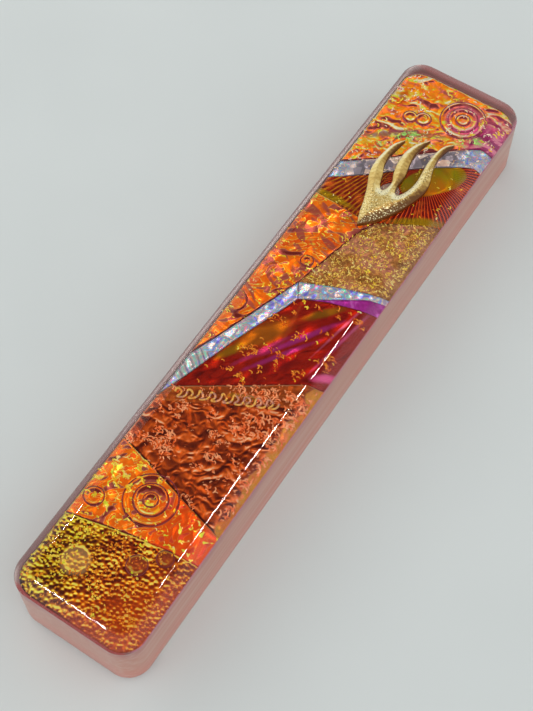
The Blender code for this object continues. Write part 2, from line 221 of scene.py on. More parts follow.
class Finish(Nodes):
    """One node material around a Principled shader. Its even values are set on the shader's sockets."""

    def __init__(self, name, **surface):
        self.material = bpy.data.materials.new(name)
        self.material.use_nodes = True
        self.tree = self.material.node_tree
        self.shader = self.tree.nodes["Principled BSDF"]
        self.place = None
        for key, value in surface.items():
            self.shader.inputs[self.socket_name(key)].default_value = value

    @staticmethod
    def socket_name(key):
        return key.replace("_", " ").title().replace("Ior", "IOR")

    def mm(self):
        """Object coordinates in millimetres."""
        if self.place is None:
            source = self.add("ShaderNodeTexCoord").outputs["Object"]
            self.place = self.out("ShaderNodeVectorMath", {0: source, "Scale": 1 / MM}, operation="SCALE")
        return self.place

    def stretched(self, stretch, turn=0.0, centre=(0, 0, 0)):
        """Millimetres about centre, turned about Z by degrees and then stretched."""
        turned = (0, 0, math.radians(turn))
        return self.out("ShaderNodeMapping", {"Vector": self.mm(), "Location": centre, "Rotation": turned,
                                              "Scale": stretch}, vector_type="TEXTURE")

    def noise(self, size, detail=2.0, twist=0.0, vector=None):
        """Noise from 0 to 1 with features of about size millimetres."""
        return self.out("ShaderNodeTexNoise", {"Vector": vector or self.mm(), "Scale": 1 / size,
                                               "Detail": detail, "Distortion": twist})

    def cells(self, size, output):
        """Random cells of about size millimetres: their Color, or the Distance to their middles."""
        return self.add("ShaderNodeTexVoronoi", {"Vector": self.mm(), "Scale": 1 / size}).outputs[output]

    def span(self, value, low, high):
        """value from low to high as 0 to 1, smoothly."""
        return self.out("ShaderNodeMapRange", {0: value, 1: low, 2: high}, interpolation_type="SMOOTHSTEP")

    def swing(self, value, amount):
        """A value of 0 to 1, moved to lie about zero, times amount."""
        return self.times(self.minus(value, 0.5), amount)

    def lean(self, x, y, gain=1.0):
        """Painted light and shade: how far the surface leans towards (x, y), as 0.5 plus its slope times
        gain.
        """
        normal = self.add("ShaderNodeTexCoord").outputs["Normal"]
        direction = (x * gain, y * gain, 0)
        dot = self.add("ShaderNodeVectorMath", {0: normal, 1: direction}, operation="DOT_PRODUCT")
        return self.plus(dot.outputs["Value"], 0.5)

    def side(self, x, y, start, end, ragged=0.0, grain=2.0):
        """0 to 1 between start and end millimetres along the direction (x, y), with a ragged edge."""
        along = self.add("ShaderNodeVectorMath", {0: self.mm(), 1: (x, y, 0)}, operation="DOT_PRODUCT")
        value = along.outputs["Value"]
        if ragged:
            value = self.plus(value, self.swing(self.noise(grain), ragged * 2))
        return self.span(value, start, end)

    def oval(self, centre, radii, turn, soft=0.2, ragged=0.0):
        """1 inside an oval in millimetres, turned by degrees, fading to 0 at its edge."""
        vector = self.stretched((*radii, ENDLESS), turn, (*centre, 0))
        away = self.add("ShaderNodeVectorMath", {0: vector}, operation="LENGTH").outputs["Value"]
        if ragged:
            away = self.plus(away, self.swing(self.noise(RAGGED_GRAIN), ragged))
        return self.span(away, 1 + soft, 1 - soft)

    def ramp(self, value, stops):
        """Colours along value: stops are (place, (red, green, blue) as seen on a screen)."""
        made = self.add("ShaderNodeValToRGB", {"Fac": value})
        elements = made.color_ramp.elements
        while len(elements) < len(stops):
            elements.new(1.0)
        for element, (place, colour) in zip(elements, stops):
            element.position = place
            element.color = screen(*colour)
        return made.outputs["Color"]

    def mix(self, share, under, over, strength=1.0):
        """The colour over laid on the colour under where share is 1, at strength."""
        if strength != 1.0:
            share = self.times(share, strength)
        made = self.add("ShaderNodeMix", {0: share}, data_type="RGBA")
        for key, value in ((6, under), (7, over)):
            self.put(made.inputs[key], screen(*value) if isinstance(value, tuple) else value)
        return made.outputs[2]

    def patched(self, base, patches, soft=0.5, ragged=0.7):
        """Soft ovals laid on a colour: patches are (centre, radii, turn, strength, tint)."""
        for centre, radii, turn, strength, tint in patches:
            base = self.mix(self.oval(centre, radii, turn, soft, ragged), base, tint, strength)
        return base

    def feed(self, key, output):
        self.tree.links.new(output, self.shader.inputs[self.socket_name(key)])

    def paint(self, value, stops):
        """The whole colour as one ramp."""
        self.feed("base_color", self.ramp(value, stops))

    def bump(self, height, depth, strength=1.0):
        """Bump of depth millimetres from a height of 0 to 1."""
        self.feed("normal", self.out("ShaderNodeBump", {"Height": height, "Strength": strength,
                                                        "Distance": depth * MM}))


# %% Floor
FLOOR_HALF = 12.0
FLOOR_DROP = 0.0002
pale_paper = Finish("pale_paper", roughness=0.9)
pale_paper.paint(pale_paper.noise(40.0), [(0.3, (222, 225, 221)), (0.7, (225, 228, 224))])
floor_mesh = bpy.data.meshes.new("floor")
floor_corners = [(x * FLOOR_HALF, y * FLOOR_HALF, 0) for x, y in ((-1, -1), (1, -1), (1, 1), (-1, 1))]
floor_mesh.from_pydata(floor_corners, [], [(0, 1, 2, 3)])
floor_mesh.materials.append(pale_paper.material)
floor = bpy.data.objects.new("floor", floor_mesh)
floor.location.z = -FLOOR_DROP
scene.collection.objects.link(floor)
print("floor", 2 * FLOOR_HALF, "m wide")

# %% [markdown]
# ## The pink glass case
# The body is a block of peach glass with rounded corners, a shallow bed for the mosaic in its top and a
# recess with a scroll channel in its back. It could be a bevelled cube, but here rings of one rounded
# outline are stacked, so every corner has the same even facets and the soft shoulder follows an
# ellipse. The bed, recess and channel are then cut out with booleans.

# %% Rounded outlines and stacked solids
HALF_WIDTH = case_high.x / MM
HALF_LENGTH = case_high.y / MM
CORNER = 5.1
CORNER_STEPS = 20
SIDE_STEP = 1.6


def rounded_outline(half_x, half_y, radius, corner_steps=CORNER_STEPS, side_step=SIDE_STEP):
    """Points round a rounded rectangle in millimetres, anticlockwise, with points along its sides too."""
    across = max(2, round(2 * (HALF_WIDTH - CORNER) / side_step))
    along = max(2, round(2 * (HALF_LENGTH - CORNER) / side_step))
    points = []
    corners = [(1, 1), (-1, 1), (-1, -1), (1, -1)]
    for index, (sx, sy) in enumerate(corners):
        centre = Vector((sx * (half_x - radius), sy * (half_y - radius)))
        for step in range(corner_steps + 1):
            angle = math.pi / 2 * (index + step / corner_steps)
            points.append(centre + radius * Vector((math.cos(angle), math.sin(angle))))
        nx, ny = corners[(index + 1) % 4]
        angle = math.pi / 2 * (index + 1)
        start = points[-1]
        end = Vector((nx * (half_x - radius), ny * (half_y - radius)))
        end = end + radius * Vector((math.cos(angle), math.sin(angle)))
        count = across if index % 2 == 0 else along
        points.extend(start.lerp(end, step / count) for step in range(1, count))
    return points


def kept_mesh(name, bm):
    """A new object in the scene from a finished bmesh."""
    mesh = bpy.data.meshes.new(name)
    bm.to_mesh(mesh)
    bm.free()
    obj = bpy.data.objects.new(name, mesh)
    scene.collection.objects.link(obj)
    return obj


def stacked(name, rings):
    """A closed solid through rings of equal length, given from the lowest to the highest in millimetres."""
    bm = bmesh.new()
    layers = [[bm.verts.new(Vector(point) * MM) for point in ring] for ring in rings]
    count = len(layers[0])
    for low, high in zip(layers, layers[1:]):
        for i in range(count):
            bm.faces.new((low[i], low[(i + 1) % count], high[(i + 1) % count], high[i]))
    bm.faces.new(reversed(layers[0]))
    bm.faces.new(layers[-1])
    for face in bm.faces:
        face.smooth = len(face.verts) == 4
    return kept_mesh(name, bm)


# %% The soft shoulder
SHOULDER_START = 16.0
SHOULDER_WIDTH = 4.4
SHOULDER_HEIGHT = 2.6
LEAST_CORNER = 0.7


def shoulder_inset(z):
    """How far the soft shoulder has drawn in at height z."""
    rise = min(1.0, max(0.0, (z - SHOULDER_START) / SHOULDER_HEIGHT))
    return SHOULDER_WIDTH * (1 - math.sqrt(1 - rise * rise))


def case_ring(inset, z):
    """The case's outline drawn in by inset, at height z."""
    radius = max(CORNER - inset, LEAST_CORNER)
    return [(p.x, p.y, z) for p in rounded_outline(HALF_WIDTH - inset, HALF_LENGTH - inset, radius)]


def shape_only(obj):
    """Swaps an object's mesh for what its modifiers make of it, and removes the modifiers."""
    evaluated = obj.evaluated_get(bpy.context.evaluated_depsgraph_get())
    mesh = bpy.data.meshes.new_from_object(evaluated)
    obj.modifiers.clear()
    obj.data = mesh
    return obj


def cut(obj, *tools):
    """Subtracts closed tools from a closed object, and removes the tools."""
    for tool in tools:
        modifier = obj.modifiers.new("cut", "BOOLEAN")
        modifier.operation = "DIFFERENCE"
        modifier.solver = "EXACT"
        modifier.object = tool
    shape_only(obj)
    for tool in tools:
        bpy.data.objects.remove(tool)
    return obj


# %% The body and what is cut from it
FOOT_ROUND = 0.4
FOOT_STEPS = 4
FOOT = case_low.z / MM
BODY_TOP = case_high.z / MM
BODY_HEIGHTS = (4.0, 8.0, 12.0, 15.2, 15.8, SHOULDER_START, 16.15, 16.25)
BED_FLOOR = 14.9
CUT_CORNER_STEPS, CUT_SIDE_STEP = 10, 8.0
body_rings = []
for step in range(FOOT_STEPS + 1):
    angle = math.pi / 2 * step / FOOT_STEPS
    inset = FOOT_ROUND * (1 - math.sin(angle))
    body_rings.append(case_ring(inset, FOOT + FOOT_ROUND * (1 - math.cos(angle))))
body_rings.extend(case_ring(shoulder_inset(z), z) for z in BODY_HEIGHTS)
body_rings.append(case_ring(shoulder_inset(BODY_TOP) + 0.01, BODY_TOP))
pink_case = stacked("pink_case", body_rings)


def pocket(name, low, high, radius):
    """A rounded block to cut with, from its lowest to its highest corner in millimetres."""
    middle = Vector(((low[0] + high[0]) / 2, (low[1] + high[1]) / 2))
    half_x, half_y = (high[0] - low[0]) / 2, (high[1] - low[1]) / 2
    outline = rounded_outline(half_x, half_y, radius, CUT_CORNER_STEPS, CUT_SIDE_STEP)
    return stacked(name, [[(p.x + middle.x, p.y + middle.y, z) for p in outline] for z in (low[2], high[2])])


bed = pocket("bed", (-13.0, -75.5, BED_FLOOR), (14.33, 73.2, 17.0), 4.4)
recess = pocket("recess", (-11.0, -69.0, 0.0), (11.0, 90.0, 4.0), 0.5)
channel = pocket("channel", (-8.6, -62.0, 3.0), (8.6, 62.0, 13.6), 3.0)
cut(pink_case, bed, recess, channel)
print("pink case:", len(pink_case.data.polygons), "faces")

# %% [markdown]
# ### Satin peach glass
# Thick peach glass lit from all round looks milky and even, with faint streaks drawn along its length
# and a deeper rose where it is thin at the seam and at the foot. Real transmission would show the
# channel inside, which the real one hides, so the glow is done with subsurface scattering under a coat.

# %% Peach glass
STREAK_SHARE = 0.26
SEAM_LOW, SEAM_HIGH = 15.75, 16.2
peach = Finish("peach_glass", roughness=0.28, subsurface_weight=0.15, subsurface_scale=0.003,
               coat_weight=0.2, coat_roughness=0.15, ior=1.5)
peach.shader.inputs["Subsurface Radius"].default_value = (1.0, 0.5, 0.4)
heights = peach.parts(peach.mm())["Z"]
streak = peach.noise(1.0, 3.0, 0.0, peach.stretched((1.3, 40.0, 0.9)))
level = peach.plus(heights, peach.swing(peach.noise(9.0), 5.0))
zones = peach.ramp(peach.math("DIVIDE", level, 17.0), [
    (0.02, (202, 96, 74)), (0.16, (196, 110, 88)), (0.45, (186, 120, 98)), (0.78, (180, 114, 94)),
    (0.92, (164, 90, 80)), (0.97, (150, 68, 76))])
streaked = peach.mix(peach.span(streak, 0.38, 0.72), zones, (204, 184, 168))
body_colour = peach.mix(STREAK_SHARE, zones, streaked)
rim = peach.mix(peach.side(1, 0, 13.0, 14.2), (116, 62, 56), (172, 92, 110))
rim = peach.mix(peach.side(0, -1, 74.4, 75.2), rim, (150, 22, 14))
rim = peach.mix(peach.side(0, 1, 73.4, 74.4), rim, (146, 60, 50))
peach.feed("base_color", peach.mix(peach.span(heights, SEAM_LOW, SEAM_HIGH), body_colour, rim))
peach.bump(peach.noise(0.9, 3.0), 0.03, 0.25)


def stand_in(obj, node, finish):
    """Gives a piece its finish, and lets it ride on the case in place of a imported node."""
    obj.data.materials.clear()
    obj.data.materials.append(finish.material)
    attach(obj, "case")
    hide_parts(node)
    print(obj.name, "stands in for", node, "with", len(obj.data.polygons), "faces")


stand_in(pink_case, "case_body", peach)

# %% [markdown]
# ## The clear cap
# Clear glass covers the mosaic and touches it everywhere, so no air gap shows. Two faces that only just
# touch would flicker, so the cap's underside lies a little below the tops of the mosaic pieces. The
# shoulder was polished by hand and is faintly wavy, which is what breaks the lamps' reflection into dashes.

# %% Clear cap
CAP_TOP = cap_high.z / MM
UNDERSIDE = ((0.3, 15.5), (0.15, 16.1), (0.07, 16.26))
WAVE_START, WAVE_FADE = 16.4, 0.6
SHOULDER_STEPS = 22
FLAT_INSETS = (5.2, 6.4, 9.0)


def polish_wave(x, y, z):
    """Small unevenness of the polished shoulder in millimetres, none on the underside."""
    place = Vector((x * 0.16, y * 0.11, 0.0))
    depth = noise.noise(place) * 0.07 + noise.noise(place * 2.9 + Vector((7, 3, 1))) * 0.045
    return depth * min(1.0, max(0.0, (z - WAVE_START) / WAVE_FADE))


def cap_ring(inset, z):
    """The case's outline drawn in by inset, with the polisher's unevenness."""
    ring = []
    for x, y, _ in case_ring(inset, z):
        wave = polish_wave(x, y, z)
        ring.append((x - wave * x / HALF_WIDTH, y - wave * y / HALF_LENGTH, z - abs(wave) * 0.5))
    return ring


cap_rings = [case_ring(inset, z) for inset, z in UNDERSIDE]
for step in range(1, SHOULDER_STEPS + 1):
    angle = math.pi / 2 * step / SHOULDER_STEPS
    z = SHOULDER_START + SHOULDER_HEIGHT * math.sin(angle)
    if z > WAVE_START:
        cap_rings.append(cap_ring(shoulder_inset(z), min(z, CAP_TOP)))
cap_rings.extend(case_ring(inset, CAP_TOP) for inset in FLAT_INSETS)
clear_cap = stacked("clear_cap_glass", cap_rings)

# %% Clear glass
clear = Finish("clear_glass", transmission_weight=1.0, ior=1.47, roughness=0.02)
clear.paint(clear.noise(30.0), [(0.3, (255, 250, 249)), (0.7, (254, 252, 250))])
clear.bump(clear.noise(7.0, 1.0), 0.05, 0.06)
clear_cap.visible_shadow = False
clear_cap.visible_diffuse = False
clear_cap.visible_glossy = False
stand_in(clear_cap, "clear_cap", clear)

# %% [markdown]
# ## Relief sheets for the mosaic
# Each mosaic piece is patterned glass with a metal film, so its crinkles, rings and ribs are real
# relief of a few tenths of a millimetre. Each piece's outline is read from its packed stand-in, filled
# with an even grid of triangles and raised by a height function. Each material reads the surface's own
# normal to paint light and shade into the film: lighter where it leans towards the lamps, darker away.

# %% Smooth random fields
FIELD_SIZE = 64


def swell(x, y, size, seed, stretch=1.0, turn=0.0):
    """Smooth random heights from about -1 to 1, size across, stretched along the direction turn."""
    angle = math.radians(turn)
    along = (x * math.cos(angle) + y * math.sin(angle)) / (size * stretch)
    across = (-x * math.sin(angle) + y * math.cos(angle)) / size
    cell_x, cell_y = np.floor(along).astype(int), np.floor(across).astype(int)
    share_x, share_y = along - cell_x, across - cell_y
    headings = np.random.default_rng(seed).uniform(0, 2 * math.pi, (FIELD_SIZE, FIELD_SIZE))

    def corner(dx, dy):
        heading = headings[(cell_x + dx) % FIELD_SIZE, (cell_y + dy) % FIELD_SIZE]
        return np.cos(heading) * (share_x - dx) + np.sin(heading) * (share_y - dy)

    fade_x = share_x ** 3 * (share_x * (share_x * 6 - 15) + 10)
    fade_y = share_y ** 3 * (share_y * (share_y * 6 - 15) + 10)
    low = corner(0, 0) * (1 - fade_x) + corner(1, 0) * fade_x
    high = corner(0, 1) * (1 - fade_x) + corner(1, 1) * fade_x
    return (low * (1 - fade_y) + high * fade_y) * 1.6


def crinkle(x, y, size, seed, stretch=1.0, turn=0.0):
    """Creases: 1 on sharp ridge lines, falling to 0 between them."""
    bend = swell(x, y, size * 1.3, seed + 40) * size * 0.5
    return 1 - np.abs(swell(x + bend, y - bend, size, seed, stretch, turn))


def near(x, y, centre, radius, soft):
    """1 within radius of centre, fading to 0 over soft."""
    away = np.hypot(x - centre[0], y - centre[1])
    return np.clip((radius + soft - away) / soft, 0, 1)


def ring_line(x, y, centre, radius, width):
    """1 on a circle, falling off over width to each side."""
    away = np.hypot(x - centre[0], y - centre[1])
    return np.exp(-(((away - radius) / width) ** 2))


print("crease heights along a line:", crinkle(np.array([0.0, 1.0, 2.0]), np.zeros(3), 3.0, 1).round(2))


# %% From a packed tile to its outline
MERGE = 0.00001


def top_outline(node):
    """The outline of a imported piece's top face, in order, in millimetres."""
    bm = bmesh.new()
    bm.from_mesh(nodes[node].data)
    bmesh.ops.remove_doubles(bm, verts=bm.verts, dist=MERGE)
    top = max(v.co.z for v in bm.verts)
    tops = [f for f in bm.faces if all(v.co.z > top - MERGE for v in f.verts)]
    follow = {}
    for face in tops:
        for loop in face.loops:
            if not any(other in tops for other in loop.edge.link_faces if other != face):
                follow[loop.vert] = loop.link_loop_next.vert
    start = next(iter(follow))
    points = [start]
    while follow[points[-1]] != start:
        points.append(follow[points[-1]])
    outline = np.array([(v.co.x / MM, v.co.y / MM) for v in points])
    bm.free()
    return outline


def inside_distance(outline, x, y):
    """Distance from each point to the outline in millimetres, negative outside."""
    best = np.full(x.shape, 1e9)
    inside = np.zeros(x.shape, bool)
    for (ax, ay), (bx, by) in zip(outline, np.roll(outline, -1, axis=0)):
        length = (bx - ax) ** 2 + (by - ay) ** 2
        share = np.clip(((x - ax) * (bx - ax) + (y - ay) * (by - ay)) / max(length, 1e-12), 0, 1)
        best = np.minimum(best, np.hypot(x - ax - share * (bx - ax), y - ay - share * (by - ay)))
        if ay != by:
            crossing = (ay > y) != (by > y)
            inside ^= crossing & (x < (bx - ax) * (y - ay) / (by - ay) + ax)
    return np.where(inside, best, -best)


SEAM_GAIN = 0.13
RIGHT_GAIN = 0.45
RIGHT_START, RIGHT_FADE = 9.0, 4.8


def fitted(outline):
    """A packed tile's outline let out to a hairline seam, and to the thin rim on the right."""
    edge = np.roll(outline, -1, axis=0) - outline
    edge /= np.maximum(np.hypot(edge[:, 0], edge[:, 1]), 1e-9)[:, None]
    normal = np.stack([edge[:, 1], -edge[:, 0]], axis=1)
    before = np.roll(normal, 1, axis=0)
    mitre = (normal + before) / np.maximum(1 + (normal * before).sum(axis=1), 0.5)[:, None]
    grown = outline + mitre * SEAM_GAIN
    share = np.clip((grown[:, 0] - RIGHT_START) / RIGHT_FADE, 0, 1)
    grown[:, 0] += RIGHT_GAIN * share * share * (3 - 2 * share)
    return grown


def walked(outline, step):
    """The same outline with points no further apart than step."""
    points = []
    for a, b in zip(outline, np.roll(outline, -1, axis=0)):
        count = max(1, int(math.ceil(np.hypot(*(b - a)) / step)))
        points.extend(a + (b - a) * k / count for k in range(count))
    return np.array(points)


# %% From an outline to a relief sheet
ROW_SHARE = 0.87
EDGE_ROOM = 0.55
CLOSEST = 1e-5


def even_grid(outline, step):
    """Points of an even grid of triangles inside an outline, a little clear of it."""
    low, high = outline.min(axis=0), outline.max(axis=0)
    grid_x, grid_y = [], []
    for index, y in enumerate(np.arange(low[1], high[1], step * ROW_SHARE)):
        line = np.arange(low[0] + (index % 2) * step / 2, high[0], step)
        grid_x.append(line)
        grid_y.append(np.full(line.shape, y))
    grid_x, grid_y = np.concatenate(grid_x), np.concatenate(grid_y)
    keep = inside_distance(outline, grid_x, grid_y) > step * EDGE_ROOM
    return grid_x[keep], grid_y[keep]


def relief_solid(name, outline, step, floor_z, height):
    """A closed solid: flat below at floor_z and raised above by height(x, y, distance to the edge)."""
    edge = walked(outline, step)
    grid_x, grid_y = even_grid(outline, step)
    x = np.concatenate([edge[:, 0], grid_x])
    y = np.concatenate([edge[:, 1], grid_y])
    ring = [(i, (i + 1) % len(edge)) for i in range(len(edge))]
    flat = [Vector((a, b)) for a, b in zip(x, y)]
    points, _, faces, _, _, _ = delaunay_2d_cdt(flat, ring, [], 1, CLOSEST)
    x = np.array([p.x for p in points])
    y = np.array([p.y for p in points])
    z = height(x, y, np.maximum(inside_distance(outline, x, y), 0))
    bm = bmesh.new()
    tops = [bm.verts.new((a * MM, b * MM, c * MM)) for a, b, c in zip(x, y, z)]
    for face in faces:
        bm.faces.new([tops[i] for i in face]).smooth = True
    feet = [bm.verts.new((a * MM, b * MM, floor_z * MM)) for a, b in zip(x[:len(edge)], y[:len(edge)])]
    for a, b in ring:
        bm.faces.new((tops[a], feet[a], feet[b], tops[b])).smooth = True
    for face in delaunay_2d_cdt(flat[:len(edge)], ring, [], 1, CLOSEST)[2]:
        bm.faces.new([feet[i] for i in face])
    bmesh.ops.recalc_face_normals(bm, faces=bm.faces)
    return kept_mesh(name, bm)


# %% A mosaic piece in place of a packed tile
TILE_FLOOR = 15.0
TILE_LEVEL = 16.0
TILE_LOW, TILE_HIGH = 15.6, 16.5
EDGE_ROLL, EDGE_WIDTH = 0.16, 0.3
GRID_STEP = 0.2


def relief_tile(node, finish, height, step=GRID_STEP):
    """Dresses a packed mosaic piece: height(x, y) is its relief in millimetres about the common level."""

    def surface(x, y, away):
        rolled = EDGE_ROLL * np.clip(1 - away / EDGE_WIDTH, 0, 1) ** 2
        return np.clip(TILE_LEVEL + height(x, y) - rolled, TILE_LOW, TILE_HIGH)

    tile = relief_solid(node.replace("glass_", "foil_"), fitted(top_outline(node)), step, TILE_FLOOR, surface)
    stand_in(tile, node, finish)
    return tile


print("tiles from", TILE_FLOOR, "up to at most", TILE_HIGH, "mm")


# %% [markdown]
# ## Recipes for what repeats
# The film is full of small glints, stamped rings and ribs. They repeat hundreds of times, so Geometry
# Nodes make them: each tree below is a recipe with named amounts, and the same tree serves every
# piece of glass.

# %% A builder for Geometry Nodes
SOCKET_KINDS = {"amount": "NodeSocketFloat", "count": "NodeSocketInt", "place": "NodeSocketVector",
                "finish": "NodeSocketMaterial"}


class Recipe(Nodes):
    """One Geometry Nodes tree. Inputs are given as label=kind."""

    def __init__(self, name, **inputs):
        self.tree = bpy.data.node_groups.new(name, "GeometryNodeTree")
        for side in ("INPUT", "OUTPUT"):
            self.tree.interface.new_socket("Geometry", in_out=side, socket_type="NodeSocketGeometry")
        for label, kind in inputs.items():
            self.tree.interface.new_socket(label, in_out="INPUT", socket_type=SOCKET_KINDS[kind])
        self.given = self.tree.nodes.new("NodeGroupInput").outputs
        self.result = self.tree.nodes.new("NodeGroupOutput")

    def position(self):
        return self.out("GeometryNodeInputPosition")

    def random(self, low, high, seed):
        dice = self.add("FunctionNodeRandomValue", {2: low, 3: high, "Seed": seed}, data_type="FLOAT")
        return dice.outputs[1]

    def swept(self, curve, thickness, sides):
        """A closed wire of so many sides along a curve, thickness in millimetres."""
        profile = self.out("GeometryNodeCurvePrimitiveCircle", {
            "Resolution": sides, "Radius": self.times(thickness, 0.5 * MM)})
        return self.out("GeometryNodeCurveToMesh", {
            "Curve": curve, "Profile Curve": profile, "Fill Caps": True})

    def deliver(self, geometry):
        """Real geometry, smooth, in its finish, as the recipe's result."""
        real = self.out("GeometryNodeRealizeInstances", {"Geometry": geometry})
        smooth = self.out("GeometryNodeSetShadeSmooth", {"Geometry": real})
        dressed = self.out("GeometryNodeSetMaterial", {"Geometry": smooth, "Material": self.given["finish"]})
        self.put(self.result.inputs["Geometry"], dressed)
        print("recipe", self.tree.name, "has", len(self.tree.nodes), "nodes")


def follow(recipe, name, base, finish, slot, **amounts):
    """Runs a recipe on a base mesh and keeps the result as one plain piece riding on the case."""
    obj = bpy.data.objects.new(name, base)
    scene.collection.objects.link(obj)
    modifier = obj.modifiers.new("recipe", "NODES")
    modifier.node_group = recipe.tree
    amounts["finish"] = finish.material
    for item in recipe.tree.interface.items_tree:
        if item.item_type == "SOCKET" and item.in_out == "INPUT" and item.name in amounts:
            modifier[item.identifier] = amounts[item.name]
    shape_only(obj)
    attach(obj, "case")
    print(name, len(obj.data.polygons), "faces")
    return obj


# %% [markdown]
# ### Glints
# Creases in the film catch the light as short bent slivers. These glints are painted highlights: noise in
# the colour would blur them, so each glint is a sliver of partly metallic film with a dozen faces, painted in
# a bright highlight colour. The recipe lays slivers at random on the relief, in clusters, only where it
# faces upwards, and keeps them off the outer rims.

# %% Recipe: glints on the film
RIGHT_LIMIT = 13.3
FAR_LIMIT = 72.3
UPWARD_ENOUGH = 0.35
glints = Recipe("glints", per_mm2="amount", length="amount", width="amount", turn="amount", spread="amount",
                cluster="amount", cover="amount", drift="amount", seed="count", finish="finish")
g = glints.given
upward = glints.parts(glints.out("GeometryNodeInputNormal"))["Z"]
in_mm = glints.out("ShaderNodeVectorMath", {0: glints.position(), "Scale": 1 / MM}, operation="SCALE")
moved = glints.out("ShaderNodeVectorMath", {0: in_mm, 1: g["seed"]}, operation="ADD")
cloud = glints.out("ShaderNodeTexNoise", {
    "Vector": moved, "Scale": glints.math("DIVIDE", 1.0, g["cluster"]), "Detail": 1.0})
place = glints.parts(in_mm)
cloud = glints.plus(cloud, glints.times(place["X"], g["drift"]))
chosen = glints.math("GREATER_THAN", glints.plus(cloud, g["cover"]), 1.0)
tests = (("GREATER_THAN", upward, UPWARD_ENOUGH), ("LESS_THAN", place["X"], RIGHT_LIMIT),
         ("LESS_THAN", place["Y"], FAR_LIMIT))
for operation, value, limit in tests:
    chosen = glints.times(chosen, glints.math(operation, value, limit))
points = glints.out("GeometryNodeDistributePointsOnFaces", {
    "Mesh": g["Geometry"], "Selection": chosen, "Seed": g["seed"],
    "Density": glints.times(g["per_mm2"], 1 / MM ** 2)})
arc = glints.out("GeometryNodeCurveArc", {
    "Resolution": 4, "Radius": glints.times(g["length"], 0.55 * MM), "Start Angle": -1.0, "Sweep Angle": 2.0})
shift = glints.out("ShaderNodeCombineXYZ", {"X": glints.times(g["length"], -0.45 * MM)})
centred = glints.out("GeometryNodeTransform", {"Geometry": arc, "Translation": shift})
sliver = glints.swept(centred, g["width"], 4)
angle = glints.plus(g["turn"], glints.times(g["spread"], glints.random(-1.0, 1.0, 3)))
glints.deliver(glints.out("GeometryNodeInstanceOnPoints", {
    "Points": points, "Instance": sliver, "Rotation": glints.out("ShaderNodeCombineXYZ", {"Z": angle}),
    "Scale": glints.random(0.45, 1.35, 5)}))

# %% [markdown]
# ### Stamped rings
# Some pieces were stamped with nested rings before they were fused. They could be part of the relief, but
# a thin groove would need a far finer grid, so a recipe sweeps a wire round each ring instead.

# %% Recipe: stamped rings
WIRE_SIDES = 6
stamped = Recipe("stamped_rings", centre="place", first="amount", step="amount", rings="count", wire="amount",
                 begin="amount", sweep="amount", finish="finish")
g = stamped.given
spots = stamped.out("GeometryNodeMeshLine", {
    "Count": g["rings"], "Start Location": g["centre"], "Offset": (0, 0, 0)})
radius = stamped.plus(g["first"], stamped.times(stamped.out("GeometryNodeInputIndex"), g["step"]))
ring = stamped.out("GeometryNodeCurveArc", {
    "Resolution": 49, "Radius": MM, "Start Angle": g["begin"], "Sweep Angle": g["sweep"]})
rings = stamped.out("GeometryNodeInstanceOnPoints", {"Points": spots, "Instance": ring, "Scale": radius})
rings = stamped.out("GeometryNodeRealizeInstances", {"Geometry": rings})
stamped.deliver(stamped.swept(rings, g["wire"], WIRE_SIDES))

# %% [markdown]
# ### Wavy bead
# A looping bead runs along the copper piece's top edge. It could be drawn point by point, but it follows
# a rule: a line whose points swing to both sides, and lean back a little twice in each wave.

# %% Recipe: a pressed wavy bead
LOOP_LEAN = -0.36
wavy = Recipe("wavy_bead", start="place", end="place", waves="amount", height="amount", wire="amount",
              finish="finish")
g = wavy.given
row = wavy.out("GeometryNodeCurvePrimitiveLine", {"Start": g["start"], "End": g["end"]})
row = wavy.out("GeometryNodeResampleCurve", {"Curve": row, "Count": 260})
along = wavy.out("GeometryNodeSplineParameter")
phase = wavy.times(wavy.times(along, g["waves"]), 2 * math.pi)
wander = wavy.out("ShaderNodeTexNoise", {"Vector": wavy.position(), "Scale": 450.0, "Detail": 0.0})
swing = wavy.math("SINE", wavy.plus(phase, wander))
swing = wavy.times(swing, wavy.times(g["height"], 0.5))
back = wavy.times(wavy.math("SINE", wavy.times(phase, 2.0)), LOOP_LEAN * MM)
offset = wavy.out("ShaderNodeCombineXYZ", {"X": back, "Y": wavy.times(swing, MM)})
bent = wavy.out("GeometryNodeSetPosition", {"Geometry": row, "Offset": offset})
wavy.deliver(wavy.swept(bent, g["wire"], WIRE_SIDES))

# %% [markdown]
# ### Pressed ribs
# The sunburst's ribs all point at one centre. Modelling each would be slow and uneven, so a recipe lifts
# the sheet's own points by a wave that goes round the centre.

# %% Recipe: ribs pressed round a centre
ribs = Recipe("pressed_ribs", centre="place", ribs="amount", depth="amount", near="amount", finish="finish")
g = ribs.given
arm = ribs.out("ShaderNodeVectorMath", {0: ribs.position(), 1: g["centre"]}, operation="SUBTRACT")
parts = ribs.parts(arm)
around = ribs.math("ARCTAN2", parts["Y"], parts["X"])
wave = ribs.math("MAXIMUM", ribs.math("COSINE", ribs.times(around, g["ribs"])), 0.0)
reach = ribs.math("SQRT", ribs.plus(ribs.math("POWER", parts["X"], 2.0), ribs.math("POWER", parts["Y"], 2.0)))
outside = ribs.math("GREATER_THAN", reach, ribs.times(g["near"], MM))
on_top = ribs.math("GREATER_THAN", parts["Z"], -0.5 * MM)
rise = ribs.times(ribs.times(wave, g["depth"]), ribs.times(outside, on_top))
offset = ribs.out("ShaderNodeCombineXYZ", {"Z": ribs.times(rise, MM)})
ribs.deliver(ribs.out("GeometryNodeSetPosition", {"Geometry": g["Geometry"], "Offset": offset}))
